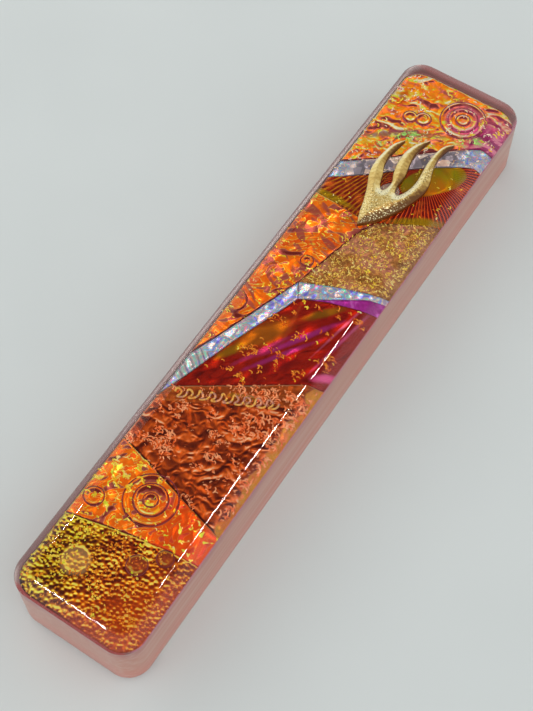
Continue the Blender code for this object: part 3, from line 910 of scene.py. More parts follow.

# %% [markdown]
# ## Foil finishes
# The film on each piece is partly a mirror. Full metal would only mirror the pale room, so the helper keeps a
# part of it plain colour, and each piece then paints its own colours with painted light and shade in them:
# lighter where the surface leans towards the lamps, darker where it leans away. Glints are the same film in
# painted highlight tones, grooves in darker tones that are partly painted shade.

# %% The film under every colour
def foil(name, metal=0.3, roughness=0.3):
    """Metal film in glass: a part of it mirrors, the rest is coloured."""
    return Finish(name, metallic=metal, roughness=roughness, ior=1.5, specular_ior_level=0.0)


def glint_finish(name, *tones):
    """Film in tones that follow each other over a few millimetres; for glints these are painted highlight
    tones.
    """
    finish = foil(name, 0.25, 0.25)
    stops = [(0.3 + 0.4 * k / (len(tones) - 1), tone) for k, tone in enumerate(tones)]
    finish.paint(finish.noise(1.6), stops)
    return finish


YELLOW, LEMON, CREAM = (255, 208, 36), (255, 232, 84), (255, 240, 190)
SALMON, ORANGE, LIME = (255, 150, 96), (250, 140, 26), (204, 220, 40)
DARK_MAUVE = (130, 52, 54)
# Painted highlights: these finishes colour the glint slivers in bright highlight tones.
yellow_glint = glint_finish("yellow_glint", ORANGE, YELLOW, LEMON, CREAM)
cream_glint = glint_finish("cream_glint", SALMON, CREAM, (255, 214, 200), (236, 250, 214))
gold_glint = glint_finish("gold_glint", (228, 168, 62), (250, 210, 96), (255, 236, 150))
copper_glint = glint_finish("copper_glint", (220, 84, 26), (255, 128, 66), (255, 178, 124), (240, 108, 44))
lime_glint = glint_finish("lime_glint", LIME, (244, 226, 60), (255, 214, 80), (220, 236, 110))
amber_glint = glint_finish("amber_glint", (216, 104, 20), (244, 160, 36), (226, 120, 30), (250, 196, 80))
ember_glint = glint_finish("ember_glint", (176, 34, 8), (226, 92, 20), (255, 172, 56), (206, 60, 14))
# Painted shade: the dark tones of the ring grooves stand in for the shade inside the stamped grooves, in the
# rings' own mauve.
ring_finish = glint_finish("ring_groove", (104, 36, 26), DARK_MAUVE, (146, 62, 60), (132, 50, 66))
mauve_ring_finish = glint_finish("mauve_ring_groove", (150, 58, 84), (186, 92, 116), (134, 44, 58),
                                 (206, 112, 96))
print("finishes so far:", len(bpy.data.materials))

# %% Rings and glints on a piece of glass
RING_LEVEL = TILE_LEVEL + 0.13


def stamp(name, slot, groups, wire=0.26, finish=ring_finish):
    """All the rings of a glass as one piece. Groups are (centre, radii, and degrees if open)."""
    made = []
    for centre, radii, *part in groups:
        sweep = math.radians(part[0] if part else 360)
        step = radii[1] - radii[0] if len(radii) > 1 else 0.0
        place = (centre[0] * MM, centre[1] * MM, RING_LEVEL * MM)
        empty = bpy.data.meshes.new(name)
        made.append(follow(stamped, name, empty, finish, slot, centre=place, first=radii[0], step=step,
                           rings=len(radii), wire=wire, begin=-sweep / 2, sweep=sweep))
    joined = bmesh.new()
    for obj in made:
        joined.from_mesh(obj.data)
    joined.to_mesh(made[0].data)
    joined.free()
    for obj in made[1:]:
        bpy.data.objects.remove(obj)
    made[0].name = name


def scatter_glints(name, tile, finish, slot, per_mm2, length, width, seed, turn=0.0, spread=180.0,
                   cluster=4.0, cover=0.5, drift=0.0):
    """Painted glints on a tile's relief. cover is the share of it that has any, drift makes them denser along
    X.
    """
    follow(glints, name, tile.data.copy(), finish, slot, per_mm2=per_mm2, length=length, width=width,
           turn=math.radians(turn), spread=math.radians(spread), cluster=cluster, cover=cover,
           drift=drift, seed=seed)


# %% [markdown]
# ### Crown piece
# Orange ripple glass with stamped rings. Its creases could be a bump in the material, but real relief
# gives true highlights and shadows. Light and shade are also painted into the film: bright where it leans
# towards the lamps and mauve where it leans away, with rose and violet towards one corner, painted yellow
# highlights as flares in its creases and painted mint highlights on some crests.

# %% Crown relief
CROWN_RINGS = [((4.1, 66.0), (5.2, 3.4, 1.6)), ((-6.4, 60.4), (1.6,)), ((-3.6, 61.4), (1.8,))]
RING_RISE, RING_WIDTH, RING_IN = 0.3, 0.34, 0.42


def ringed(x, y, groups, creases, calmness=0.75):
    """Creases that lie calm inside stamped rings, with a soft rise along each ring."""
    calm = np.ones_like(x)
    rise = np.zeros_like(x)
    for centre, radii, *_ in groups:
        calm = np.minimum(calm, 1 - calmness * near(x, y, centre, radii[0], 1.0))
        for radius in radii:
            rise = rise + ring_line(x, y, centre, radius - RING_IN, RING_WIDTH)
    return creases * calm + RING_RISE * rise


def crown_height(x, y):
    creases = 0.62 * (crinkle(x, y, 4.2, 3, 1.8, 25) - 0.74) + 0.2 * (crinkle(x, y, 1.9, 8, 1.4, 30) - 0.7)
    return ringed(x, y, CROWN_RINGS, creases)


# %% Crown colours
crown = foil("crown_foil")
# Painted light and shade: facets leaning towards the lamps are painted yellow to cream, those leaning away
# mauve.
lean = crown.lean(-0.5, 0.85, 1.7)
value = crown.plus(lean, crown.swing(crown.noise(3.2, 3.0, 1.2), 0.55))
base = crown.ramp(value, [
    (0.05, (120, 44, 44)), (0.22, (178, 88, 76)), (0.34, (220, 104, 40)), (0.46, (246, 126, 12)),
    (0.60, (250, 144, 20)), (0.72, (255, 196, 44)), (0.84, (255, 234, 96)), (0.95, (255, 248, 206))])
base = crown.mix(crown.span(crown.noise(2.6, 2.0, 0.8), 0.56, 0.66), base, (248, 142, 104), 0.5)
violet = crown.ramp(value, [(0.2, (136, 28, 84)), (0.5, (188, 60, 124)), (0.8, (232, 126, 156))])
base = crown.mix(crown.oval((12.4, 63.0), (5.5, 8.0), 20, 0.6, 0.6), base, violet, 0.95)
base = crown.patched(base, (
    ((-7.5, 54.2), (6.5, 0.9), 38, 0.8, (150, 74, 84)), ((-10.5, 64.0), (1.0, 2.6), 10, 0.8, (190, 60, 10)),
    ((1.0, 70.3), (7.5, 0.5), -8, 0.8, (166, 84, 76)), ((-1.0, 57.6), (5.0, 0.7), 30, 0.8, (158, 88, 62))),
    ragged=0.8)
# Painted highlights: mint on some crests.
mint_crests = crown.span(crown.noise(1.2, 2.0, 1.0), 0.46, 0.6)
for centre, radii in (((-3.8, 55.6), (3.4, 1.2)), ((8.2, 61.4), (3.0, 1.3)), ((-9.0, 49.6), (2.0, 1.0))):
    mint = crown.times(crown.oval(centre, radii, 35, 0.6, 0.8), mint_crests)
    base = crown.mix(mint, base, (160, 226, 110))
# Painted highlights: yellow flares where the noise and the painted light are both high.
flare = crown.times(crown.span(crown.noise(2.3, 3.0, 0.8), 0.57, 0.6), crown.span(lean, 0.46, 0.6))
base = crown.mix(flare, base, crown.ramp(crown.noise(1.9, 1.0), [
    (0.32, (255, 180, 30)), (0.42, (208, 228, 56)), (0.52, (255, 236, 84)), (0.66, (255, 226, 160))]))
outer = crown.oval(CROWN_RINGS[0][0], (4.0, 4.0), 0, 0.12)
inner = crown.oval(CROWN_RINGS[0][0], (2.9, 2.9), 0, 0.16)
crown.feed("base_color", crown.mix(crown.minus(outer, inner), base, (200, 66, 128), 0.7))

# %% Crown piece
crown_tile = relief_tile("glass_crown_ripple", crown, crown_height)
stamp("crown_rings", "amber_glass", CROWN_RINGS, 0.3, mauve_ring_finish)
scatter_glints("crown_glints", crown_tile, yellow_glint, "amber_glass", per_mm2=0.6, length=0.9, width=0.3,
               seed=201, turn=30, spread=60, cluster=3.8, cover=0.46)
scatter_glints("crown_cream_glints", crown_tile, cream_glint, "amber_glass", per_mm2=0.9, length=0.6,
               width=0.26, seed=204, turn=30, spread=90, cluster=3.4, cover=0.46)

# %% [markdown]
# ### Silver band
# A band of shattered silver film: grey shards, some of them peach, with opal curls at both ends. Cells
# give every shard its own tone, which plain noise cannot do, and painted light and shade by the lean of
# the surface shift it.

# %% Silver band
OPAL = [(0.27, (120, 110, 214)), (0.36, (160, 146, 208)), (0.40, (86, 200, 214)), (0.43, (166, 148, 176)),
        (0.50, (174, 152, 164)), (0.53, (252, 210, 170)), (0.56, (166, 146, 172)), (0.60, (126, 224, 176)),
        (0.65, (150, 128, 216)), (0.72, (232, 150, 160))]


def shard_height(x, y):
    return 0.16 * swell(x, y, 2.2, 11) + 0.1 * (crinkle(x, y, 2.6, 12) - 0.7)


silver = foil("silver_foil", roughness=0.28)
pick = silver.out("ShaderNodeSeparateColor", {0: silver.cells(2.5, "Color")})
# Painted light and shade: the lean of the surface moves each shard's tone lighter or darker.
greys = silver.ramp(silver.plus(pick, silver.swing(silver.lean(-0.3, 0.9, 1.2), 0.8)), [
    (0.1, (120, 110, 116)), (0.4, (150, 138, 144)), (0.58, (168, 156, 166)), (0.66, (250, 206, 180)),
    (0.9, (255, 232, 214))])
curls = silver.ramp(silver.noise(1.6, 1.0, 2.5), OPAL)
ends = silver.math("MAXIMUM", silver.side(1, 0, 7.5, 10.5, 2.0), silver.side(-1, 0, 8.0, 11.5, 2.0))
silver.feed("base_color", silver.mix(ends, greys, curls))
silver_tile = relief_tile("glass_silver_band", silver, shard_height)
scatter_glints("silver_glints", silver_tile, cream_glint, "silver_glass", per_mm2=0.9, length=0.6, width=0.22,
               seed=211, cluster=3.0, cover=0.5)

# %% [markdown]
# ### Sunburst
# A red piece with a smooth amber oval. Fine ribs run out from it, and Geometry Nodes press them into
# the sheet round a centre. The stripes in the film follow the same centre and the same number of ribs.

# %% Sunburst colours
BURST_CENTRE = (4.0, 49.0)
FAN_CENTRE = (1.0, 62.0)
BURST_RIBS, FAN_RIBS = 96, 190
OVAL_CENTRE = (6.8, 47.8)


def stripes(finish, centre, count):
    """Waves from -1 to 1 that all point at a centre, slightly uneven."""
    parts = finish.parts(finish.mm())
    around = finish.math("ARCTAN2", finish.minus(parts["Y"], centre[1]), finish.minus(parts["X"], centre[0]))
    uneven = finish.swing(finish.noise(2.0), 2.0)
    return finish.math("COSINE", finish.plus(finish.times(around, float(count)), uneven))


sunburst = foil("sunburst_foil")
red_ribs = sunburst.ramp(stripes(sunburst, BURST_CENTRE, BURST_RIBS), [
    (0.0, (108, 8, 4)), (0.5, (164, 28, 5)), (1.0, (224, 80, 18))])
brown_fan = sunburst.ramp(stripes(sunburst, FAN_CENTRE, FAN_RIBS), [
    (0.0, (120, 22, 8)), (0.4, (160, 70, 6)), (1.0, (186, 112, 10))])
burst = sunburst.mix(sunburst.side(-1, 0, 1.5, 2.5), red_ribs, brown_fan)
burst = sunburst.mix(sunburst.span(sunburst.noise(2.4), 0.5, 0.75), burst, (216, 96, 24), 0.6)
amber_oval = sunburst.ramp(sunburst.noise(3.5, 1.0), [
    (0.3, (138, 122, 0)), (0.5, (156, 112, 0)), (0.7, (174, 96, 0))])
burst = sunburst.mix(sunburst.oval(OVAL_CENTRE, (7.6, 3.6), 53, 0.05, 0.1), burst, amber_oval)
olive = sunburst.math("MAXIMUM", sunburst.oval((-9.6, 32.0), (5.0, 0.8), 0, 0.5, 0.4),
                      sunburst.oval((9.5, 36.5), (5.5, 1.0), 32, 0.5, 0.5))
burst = sunburst.mix(olive, burst, (150, 112, 0))
top_band = sunburst.side(-0.65, 0.76, 35.6, 36.2, 0.2)
sunburst.feed("base_color", sunburst.mix(top_band, burst, (124, 18, 6)))


# %% Sunburst piece
RIB_STEP = 0.13
RIB_DEPTH = 0.1
RIBS_FROM = 6.6


def burst_height(x, y):
    dome = near((x - OVAL_CENTRE[0]) * 0.5, (y - OVAL_CENTRE[1]) * 0.5, (0, 0), 1.6, 0.5)
    return 0.05 * swell(x, y, 5.0, 21) + 0.12 * dome


burst_tile = relief_tile("glass_sunburst", sunburst, burst_height, step=RIB_STEP)
rib_centre = (BURST_CENTRE[0] * MM, BURST_CENTRE[1] * MM, TILE_LEVEL * MM)
ribbed = follow(ribs, "ribbed", burst_tile.data.copy(), sunburst, "ruby_glass", centre=rib_centre,
                ribs=float(BURST_RIBS), depth=RIB_DEPTH, near=RIBS_FROM)
burst_tile.data = ribbed.data
bpy.data.objects.remove(ribbed)
scatter_glints("burst_glints", burst_tile, yellow_glint, "ruby_glass", per_mm2=0.35, length=0.5, width=0.2,
               seed=221, turn=60, spread=90, cluster=3.0, cover=0.5)

# %% [markdown]
# ### Amber ripple
# Broad orange swells with mauve valleys and thin yellow lines that follow their contours. Lines could be
# drawn as curves, but a contour is simply a narrow stop in the colour ramp of the same slow noise that
# colours the swells. The amber spiral further down is cut from the same sheet, so both share the film.

# %% Amber film
FILM_SWELL = 4.4


def amber_film(name, tilt):
    film = foil(name, roughness=0.26)
    wash = film.noise(FILM_SWELL, 2.0, 1.6, film.stretched((1.7, 1.0, 1.0), tilt))
    # Painted light and shade: the lean of the surface makes the film lighter where it leans towards the lamps
    # and darker mauve where it leans away.
    return film, film.ramp(film.plus(wash, film.swing(film.lean(-0.5, 0.85, 1.5), 0.5)), [
        (0.2, (110, 30, 22)), (0.31, (160, 72, 60)), (0.375, (186, 90, 68)), (0.39, (250, 204, 70)),
        (0.405, (236, 98, 8)), (0.5, (246, 106, 6)), (0.6, (250, 128, 14)), (0.615, (255, 226, 96)),
        (0.635, (238, 78, 6)), (0.72, (250, 104, 20)), (0.82, (255, 200, 60)), (0.93, (255, 242, 140))])


def flared(film, base, low):
    """Painted highlights: yellow flares where the film is creased."""
    share = film.span(film.noise(1.5, 3.0, 0.8), low, low + 0.04)
    return film.mix(share, base, film.ramp(film.noise(1.7, 1.0), [
        (0.32, (255, 176, 30)), (0.43, (214, 226, 56)), (0.53, (255, 230, 76)), (0.66, (255, 220, 140))]))


# %% Amber ripple
AMBER_RINGS = [((-5.1, 15.0), (1.4,)), ((-12.9, -1.6), (3.0,), 150)]


def amber_height(x, y):
    broad = 0.3 * swell(x, y, 5.0, 31, 1.6, 35)
    return ringed(x, y, AMBER_RINGS, broad + 0.26 * (crinkle(x, y, 3.0, 33, 1.7, 30) - 0.74), 0.6)


amber, amber_base = amber_film("amber_foil", 40)
mauve = amber.span(amber.noise(3.0, 2.0, 1.0, amber.stretched((2.6, 0.8, 1.0), -25)), 0.52, 0.6)
amber.feed("base_color", flared(amber, amber.mix(mauve, amber_base, (158, 72, 64), 0.8), 0.65))
amber_tile = relief_tile("glass_amber_ripple", amber, amber_height)
stamp("amber_rings", "amber_glass", AMBER_RINGS)
scatter_glints("amber_glints", amber_tile, yellow_glint, "amber_glass", per_mm2=0.6, length=0.8, width=0.26,
               seed=231, turn=70, spread=60, cluster=3.0, cover=0.43)

# %% [markdown]
# ### Champagne grain
# Brown glass full of short gold worms. The faint worms under the surface are twisted noise, which is
# cheap, and the bright ones on top are glints: slivers painted in highlight colours, each with its own
# highlight.

# %% Champagne grain
def champagne_height(x, y):
    return 0.1 * swell(x, y, 0.9, 41) + 0.06 * swell(x, y, 3.0, 42)


champagne = foil("champagne_foil", roughness=0.34)
browns = champagne.ramp(champagne.noise(5.0), [
    (0.32, (128, 74, 24)), (0.48, (158, 98, 50)), (0.6, (174, 108, 82)), (0.72, (152, 84, 74))])
worms = champagne.span(champagne.noise(0.45, 2.0, 1.5), 0.5, 0.72)
champagne.feed("base_color", champagne.mix(worms, browns, (198, 146, 76)))
champagne_tile = relief_tile("glass_champagne_grain", champagne, champagne_height)
scatter_glints("champagne_glints", champagne_tile, gold_glint, "gold_glass", per_mm2=3.6, length=0.5,
               width=0.17, seed=241, cluster=2.5, cover=0.62)
scatter_glints("champagne_bright_glints", champagne_tile, yellow_glint, "gold_glass", per_mm2=0.7,
               length=0.55, width=0.22, seed=243, turn=40, spread=60, cluster=3.0, cover=0.5)

# %% [markdown]
# ### Chevrons
# Two strips of opal film meet in a point. Their curls are strongly twisted noise read through a ramp of
# many narrow opal stops, and the lower tail of the left strip has fine bars, which are a warped wave.

# %% Chevrons
opal = foil("opal_foil", roughness=0.26)
curl = opal.ramp(opal.noise(2.3, 0.6, 2.2), OPAL)
bars = opal.add("ShaderNodeTexWave", {
    "Vector": opal.stretched((1, 1, 1), 48), "Scale": 0.25, "Distortion": 7.0, "Detail": 1.0,
    "Detail Scale": 0.5}, wave_type="BANDS").outputs["Fac"]
barred = opal.ramp(bars, [
    (0.06, (104, 88, 92)), (0.16, (176, 158, 164)), (0.4, (150, 132, 160)), (0.55, (250, 218, 150)),
    (0.7, (176, 156, 160)), (0.9, (136, 210, 180))])
tail = opal.times(opal.side(0, -1, 14.0, 15.5, 1.5), opal.side(0, 1, -23.5, -22.5, 1.0))
opal.feed("base_color", opal.mix(tail, curl, barred, 0.6))
relief_tile("glass_chevron_left", opal, lambda x, y: 0.14 * swell(x, y, 1.8, 51))
relief_tile("glass_chevron_right", opal, lambda x, y: 0.14 * swell(x, y, 1.8, 52))

# %% [markdown]
# ### Magenta sliver
# A thin smooth offcut under the right strip. It is small and almost flat, so one ramp is enough.

# %% Magenta sliver
magenta = foil("magenta_foil", roughness=0.25)
magenta.paint(magenta.noise(2.0, 2.0, 1.0), [
    (0.3, (140, 30, 110)), (0.55, (170, 46, 146)), (0.75, (206, 110, 190))])
relief_tile("glass_magenta_sliver", magenta, lambda x, y: 0.05 * swell(x, y, 2.0, 61))

# %% [markdown]
# ### Ruby streak
# Deep red with smoke, olive clouds and violet streaks that were combed through the hot glass in one
# direction, so its noise is stretched along that direction. Each streak is a long soft oval, because
# noise alone would not put them in the right places. Orange glints sit in clusters.

# %% Ruby streak
COMBED = 57
ruby = foil("ruby_foil", roughness=0.24)
glass = ruby.ramp(ruby.noise(1.8, 3.0, 1.6, ruby.stretched((2.6, 1.0, 1.0), COMBED)), [
    (0.25, (92, 6, 0)), (0.42, (134, 14, 0)), (0.55, (156, 26, 4)), (0.66, (140, 16, 1)),
    (0.8, (166, 44, 8))])
glass = ruby.patched(glass, (
    ((-3.0, -5.2), (6.5, 2.2), 60, 0.9, (156, 82, 4)), ((5.0, 6.2), (4.5, 0.9), 50, 0.8, (130, 84, 0)),
    ((-6.5, -12.0), (3.2, 0.9), 62, 0.8, (140, 96, 0)), ((0.6, 0.2), (5.5, 0.4), 100, 0.6, (168, 60, 20)),
    ((6.5, 3.0), (5.0, 1.6), 60, 0.8, (126, 10, 2)), ((2.5, -10.0), (5.0, 1.6), 45, 0.7, (108, 6, 8)),
    ((10.5, -1.0), (7.0, 1.3), 84, 0.6, (150, 18, 6))))
glass = ruby.patched(glass, (
    ((-1.0, -8.2), (7.0, 0.5), 62, 0.9, (150, 36, 74)), ((4.0, -1.8), (7.5, 0.6), 58, 0.9, (164, 40, 110)),
    ((2.6, -7.4), (7.0, 0.5), 57, 0.9, (158, 38, 98)), ((11.3, 3.0), (8.5, 0.3), 82, 0.9, (176, 66, 106)),
    ((9.6, 4.0), (6.5, 0.25), 80, 0.9, (176, 70, 90)), ((12.9, -6.6), (2.4, 0.8), 40, 0.9, (240, 90, 150))),
    soft=0.6, ragged=0.6)
ruby.feed("base_color", glass)
ruby_tile = relief_tile("glass_ruby_streak", ruby, lambda x, y: 0.16 * swell(x, y, 2.6, 71, 1.8, COMBED))
scatter_glints("ruby_glints", ruby_tile, ember_glint, "ruby_glass", per_mm2=2.8, length=0.85, width=0.26,
               seed=272, turn=COMBED, spread=60, cluster=3.0, cover=0.4)
scatter_glints("ruby_yellow_glints", ruby_tile, yellow_glint, "ruby_glass", per_mm2=2.2, length=0.7,
               width=0.26, seed=275, turn=COMBED, spread=60, cluster=3.0, cover=0.33)

# %% [markdown]
# ### Copper crinkle
# Dark copper foil, crumpled and pressed flat again, with painted salmon highlights where its creases lean
# towards the lamps and a smooth ribbon under its top edge. The creases are ridged noise in the relief. A
# wavy bead is pressed along the ribbon.

# %% Copper crinkle
WAVE_HEIGHT = 16.4 * MM


def copper_height(x, y):
    return 0.34 * (crinkle(x, y, 4.6, 81, 1.5, 60) - 0.72) + 0.16 * (crinkle(x, y, 1.7, 82) - 0.7)


copper = foil("copper_foil", roughness=0.28)
# Painted light and shade: dark brown where the creases lean away from the lamps, salmon highlights where they
# lean towards them.
base = copper.ramp(copper.plus(copper.lean(-0.5, 0.85, 1.7), copper.swing(copper.noise(4.0), 0.6)), [
    (0.12, (70, 14, 2)), (0.36, (112, 34, 4)), (0.54, (150, 54, 8)), (0.68, (204, 84, 20)),
    (0.82, (255, 128, 60)), (0.95, (255, 200, 150))])
ribbon = copper.ramp(copper.noise(1.4, 2.0, 0.6, copper.stretched((6, 1, 1), 30)), [
    (0.35, (120, 48, 8)), (0.55, (166, 74, 22)), (0.7, (150, 100, 20))])
base = copper.mix(copper.side(-0.5, 0.87, -19.8, -19.2, 0.4), base, ribbon, 0.8)
edge_strip = copper.ramp(copper.noise(3.0), [
    (0.4, (206, 110, 30)), (0.6, (190, 130, 20)), (0.7, (226, 120, 60))])
copper.feed("base_color", copper.mix(copper.side(1, 0, 12.2, 12.7, 2.4, 5.0), base, edge_strip, 0.85))
copper_tile = relief_tile("glass_copper_crinkle", copper, copper_height)
loop_finish = glint_finish("loop_film", (206, 110, 50), (240, 180, 80), (180, 120, 110), (255, 170, 110))
follow(wavy, "copper_wave", bpy.data.meshes.new("copper_wave"), loop_finish, "copper_glass",
       start=(-10.4 * MM, -26.2 * MM, WAVE_HEIGHT), end=(8.6 * MM, -17.4 * MM, WAVE_HEIGHT), waves=9.0,
       height=2.1, wire=0.5)
scatter_glints("copper_glints", copper_tile, copper_glint, "copper_glass", per_mm2=2.2, length=1.1, width=0.3,
               seed=281, turn=60, spread=70, cluster=5.0, cover=0.46)
scatter_glints("copper_fine_glints", copper_tile, copper_glint, "copper_glass", per_mm2=2.4, length=0.5,
               width=0.2, seed=283, cluster=3.6, cover=0.45)

# %% [markdown]
# ### Amber spiral
# The same amber sheet, turned another way, with three nested rings and a smaller one. It glows red
# towards the right, and a ragged step between two colours gives that without a second film.

# %% Amber spiral
SPIRAL_RINGS = [((-0.8, -47.8), (5.5, 3.5, 1.6)), ((-10.4, -53.1), (2.0,))]


def spiral_height(x, y):
    return ringed(x, y, SPIRAL_RINGS, 0.3 * (crinkle(x, y, 3.0, 91, 1.8, 70) - 0.75), 0.7)


spiral, spiral_base = amber_film("spiral_foil", 70)
reddened = spiral.mix(spiral.side(1, 0, 0.0, 6.0, 3.0, 4.0), spiral_base, (224, 58, 6), 0.7)
spiral.feed("base_color", flared(spiral, reddened, 0.6))
spiral_tile = relief_tile("glass_amber_spiral", spiral, spiral_height)
stamp("spiral_rings", "amber_glass", SPIRAL_RINGS)
scatter_glints("spiral_glints", spiral_tile, yellow_glint, "amber_glass", per_mm2=0.5, length=1.0, width=0.36,
               seed=291, turn=70, spread=40, cluster=3.5, cover=0.46, drift=-0.008)

# %% [markdown]
# ### Gold grain
# The bottom piece is granular: beads about a millimetre apart in brown, yellow and lime, with painted light
# and shade: lighter on the side of each bead that leans towards the lamps, darker brown on the side that
# leans away. It has three stamped circles. Noise gives blots, not beads, so the relief puts one round bead
# in each cell of a loose grid.

# %% Gold grain relief
GRAIN_RINGS = [((-5.5, -65.5), (2.9,)), ((4.8, -60.0), (2.1,)), ((8.5, -56.0), (1.7,))]
BEAD_SPACING = 0.85
BEAD_WIDTH = 0.42


def beads(x, y, size, seed):
    """Round beads about size apart, one in each cell of a loose grid: 1 on their tops, 0 between them."""
    cell_x, cell_y = np.floor(x / size).astype(int), np.floor(y / size).astype(int)
    dice = np.random.default_rng(seed)
    shifts = dice.uniform(0.05, 0.95, (FIELD_SIZE, FIELD_SIZE, 2))
    rises = dice.uniform(0.45, 1.0, (FIELD_SIZE, FIELD_SIZE))
    best = np.zeros_like(x)
    for dx in (-1, 0, 1):
        for dy in (-1, 0, 1):
            cell = (cell_x + dx) % FIELD_SIZE, (cell_y + dy) % FIELD_SIZE
            spot = shifts[cell]
            away = np.hypot(x / size - cell_x - dx - spot[..., 0], y / size - cell_y - dy - spot[..., 1])
            best = np.maximum(best, rises[cell] * np.exp(-((away / BEAD_WIDTH) ** 2)))
    return best


def grain_height(x, y):
    grain = 0.3 * (beads(x, y, BEAD_SPACING, 101) - 0.5) + 0.1 * swell(x, y, 3.0, 102)
    return ringed(x, y, GRAIN_RINGS, grain, 0.3)


# %% Gold grain colours
gold = foil("gold_grain_foil")
# Painted light and shade: beads lighter where they lean towards the lamps, darker where they lean away; the
# noise adds the glass's own patches.
value = gold.plus(gold.lean(-0.4, 0.9, 1.5), gold.swing(gold.noise(3.4), 0.85))
base = gold.ramp(value, [
    (0.1, (66, 12, 0)), (0.36, (114, 32, 0)), (0.52, (142, 50, 2)), (0.66, (200, 90, 6)),
    (0.8, (248, 164, 22)), (0.94, (255, 236, 96))])
base = gold.mix(gold.side(0.8, -0.6, 38.0, 50.0, 5.0, 4.0), base, (206, 74, 16), 0.45)
limes = gold.ramp(value, [
    (0.2, (70, 36, 0)), (0.5, (136, 92, 2)), (0.7, (206, 204, 16)), (0.88, (238, 246, 76))])
base = gold.mix(gold.side(-1, 0, -2.0, 10.0, 4.0, 4.0), base, limes, 0.5)
base = gold.patched(base, [(GRAIN_RINGS[0][0], (3.0, 3.0), 0, 0.3, (232, 176, 112))], 0.12, 0.2)
spots = [(centre, (radii[0], radii[0]), 0, 0.7, (150, 62, 30)) for centre, radii in GRAIN_RINGS[1:]]
gold.feed("base_color", gold.patched(base, spots, 0.15, 0.2))

# %% Gold grain piece
gold_tile = relief_tile("glass_gold_grain", gold, grain_height)
stamp("grain_rings", "gold_glass", GRAIN_RINGS[1:], 0.22)
scatter_glints("grain_amber_glints", gold_tile, amber_glint, "gold_glass", per_mm2=1.6, length=0.34,
               width=0.3, seed=301, turn=20, spread=50, cluster=3.0, cover=0.52, drift=0.004)
scatter_glints("grain_lime_glints", gold_tile, lime_glint, "gold_glass", per_mm2=1.6, length=0.36,
               width=0.34, seed=303, turn=20, spread=50, cluster=4.0, cover=0.42, drift=-0.012)

# %% [markdown]
# ## The gold letter
# The letter is a small satin casting with three flames on one foot. A bevelled outline would give flat
# tops, so it is filled like the mosaic pieces and its height follows the distance to its own edge,
# which crowns every arm by itself.

# %% Crowned letter
LETTER_STEP = 0.2
LETTER_LOW = CAP_TOP - 0.02
LETTER_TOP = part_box("shin_emblem")[1].z / MM
LETTER_WALL, LETTER_CROWN = 0.95, 0.88
CROWN_REACH = 2.6
CLEAN_EDGE = 0.4


def letter_height(x, y, away):
    crown_share = 1 - np.clip(1 - away / CROWN_REACH, 0, 1) ** 2
    cast = 0.03 * swell(x, y, 0.8, 111) + 0.02 * swell(x, y, 0.4, 112)
    return LETTER_TOP - LETTER_WALL + LETTER_CROWN * crown_share + cast * np.clip(away / CLEAN_EDGE, 0, 1)


letter = relief_solid("gold_letter", top_outline("shin_emblem"), LETTER_STEP, LETTER_LOW, letter_height)

# %% [markdown]
# ### Satin gold
# Brushed gold with painted glints as bright specks and dark specks on its foot, and painted shade on its
# steep rims. The tone is painted light and shade by the lean of the surface, the specks are fine noise kept
# to two soft ovals, and steep walls are painted darker as shade.

# %% Satin gold
satin = Finish("satin_gold", metallic=0.55, roughness=0.38)
# Painted light and shade: lighter gold where the surface leans towards the lamps, darker brown where it leans
# away.
tone = satin.ramp(satin.lean(-0.4, 0.9, 1.4), [
    (0.08, (104, 62, 20)), (0.28, (166, 126, 56)), (0.48, (212, 178, 98)), (0.68, (242, 216, 140)),
    (0.86, (255, 244, 198))])
speck = satin.noise(0.32, 3.0)
grainy = satin.math("MAXIMUM", satin.oval((0.8, 33.5), (6.0, 4.2), 75, 0.5, 1.0),
                    satin.oval((5.8, 46.5), (9.0, 0.9), 82, 0.5, 1.0))
# Painted glints: bright specks in the two ovals, then dark specks.
sparkle = satin.mix(satin.times(grainy, satin.span(speck, 0.56, 0.62)), tone, (255, 240, 184))
sparkle = satin.mix(satin.times(grainy, satin.span(speck, 0.42, 0.37)), sparkle, (120, 96, 56))
# Painted shade: steep walls darker brown.
steep = satin.parts(satin.add("ShaderNodeTexCoord").outputs["Normal"])["Z"]
satin.feed("base_color", satin.mix(satin.span(steep, 0.7, 0.3), sparkle, (126, 76, 34)))
satin.bump(satin.noise(0.25, 3.0), 0.05, 0.6)
stand_in(letter, "shin_emblem", satin)

# %% [markdown]
# ## The back
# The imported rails, cover, scroll, tapes and liners already have their real shapes, so they keep them
# and only get finishes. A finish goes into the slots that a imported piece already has.

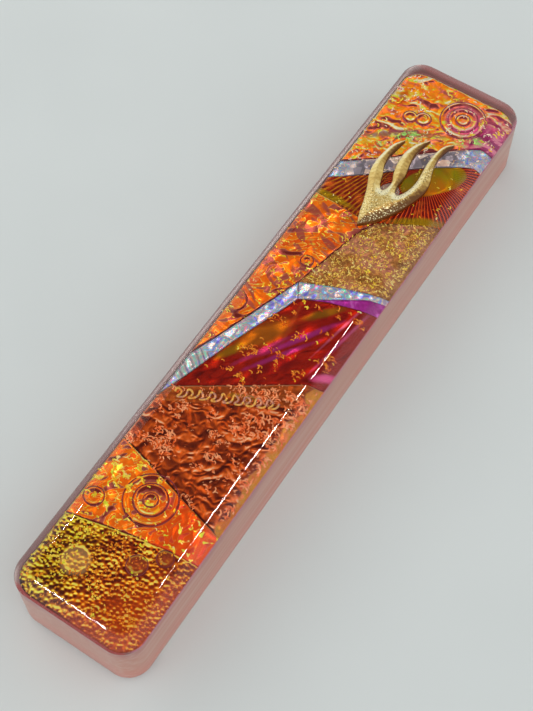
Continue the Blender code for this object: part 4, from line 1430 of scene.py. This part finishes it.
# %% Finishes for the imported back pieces
def dress(finish, *names):
    """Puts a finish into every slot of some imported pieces."""
    for name in names:
        for slot in nodes[name].material_slots:
            slot.material = finish.material
    print(finish.material.name, "on", ", ".join(names))


rail = Finish("brushed_rail", metallic=1.0, roughness=0.32)
rail.paint(rail.noise(1.0, 3.0, 0.0, rail.stretched((0.2, 12.0, 0.2))), [
    (0.3, (150, 152, 156)), (0.7, (196, 198, 202))])
dress(rail, "rail_left", "rail_right")
cover = Finish("cover_plastic_white", roughness=0.42, ior=1.49)
cover.paint(cover.noise(12.0, 3.0), [(0.3, (222, 216, 206)), (0.7, (234, 229, 220))])
cover.bump(cover.noise(0.5), 0.03, 0.4)
dress(cover, "back_cover")
parchment = Finish("parchment_skin", roughness=0.7)
parchment.paint(parchment.noise(3.0, 4.0), [
    (0.3, (214, 192, 150)), (0.6, (232, 214, 176)), (0.8, (240, 226, 194))])
parchment.bump(parchment.noise(0.6, 4.0), 0.05, 0.5)
dress(parchment, "parchment_scroll")
sleeve = Finish("clear_sleeve_film", transmission_weight=0.9, ior=1.46, roughness=0.08)
sleeve.paint(sleeve.noise(8.0), [(0.3, (244, 248, 250)), (0.7, (252, 253, 254))])
dress(sleeve, "scroll_sleeve")

# %% Finishes for tape, liner and glue
foam = Finish("white_foam_tape", roughness=0.85)
bubbles = foam.cells(0.35, "Distance")
foam.paint(bubbles, [(0.0, (206, 206, 202)), (0.5, (234, 234, 230))])
foam.bump(bubbles, 0.05, 0.6)
dress(foam, "mounting_tape_left", "mounting_tape_right")
liner = Finish("waxed_liner", roughness=0.38)
liner.paint(liner.noise(0.5, 4.0), [(0.3, (206, 150, 92)), (0.7, (220, 170, 112))])
dress(liner, "tape_liner_left", "tape_liner_right")
glue = Finish("clear_glue_pad", transmission_weight=0.8, ior=1.45, roughness=0.15)
glue.paint(glue.noise(1.0), [(0.3, (236, 230, 210)), (0.7, (246, 242, 226))])
dress(glue, "emblem_glue_pad")

# %% [markdown]
# ## The end
# The finished model has to stay inside the imported one.

# %% The end
print("scene built")
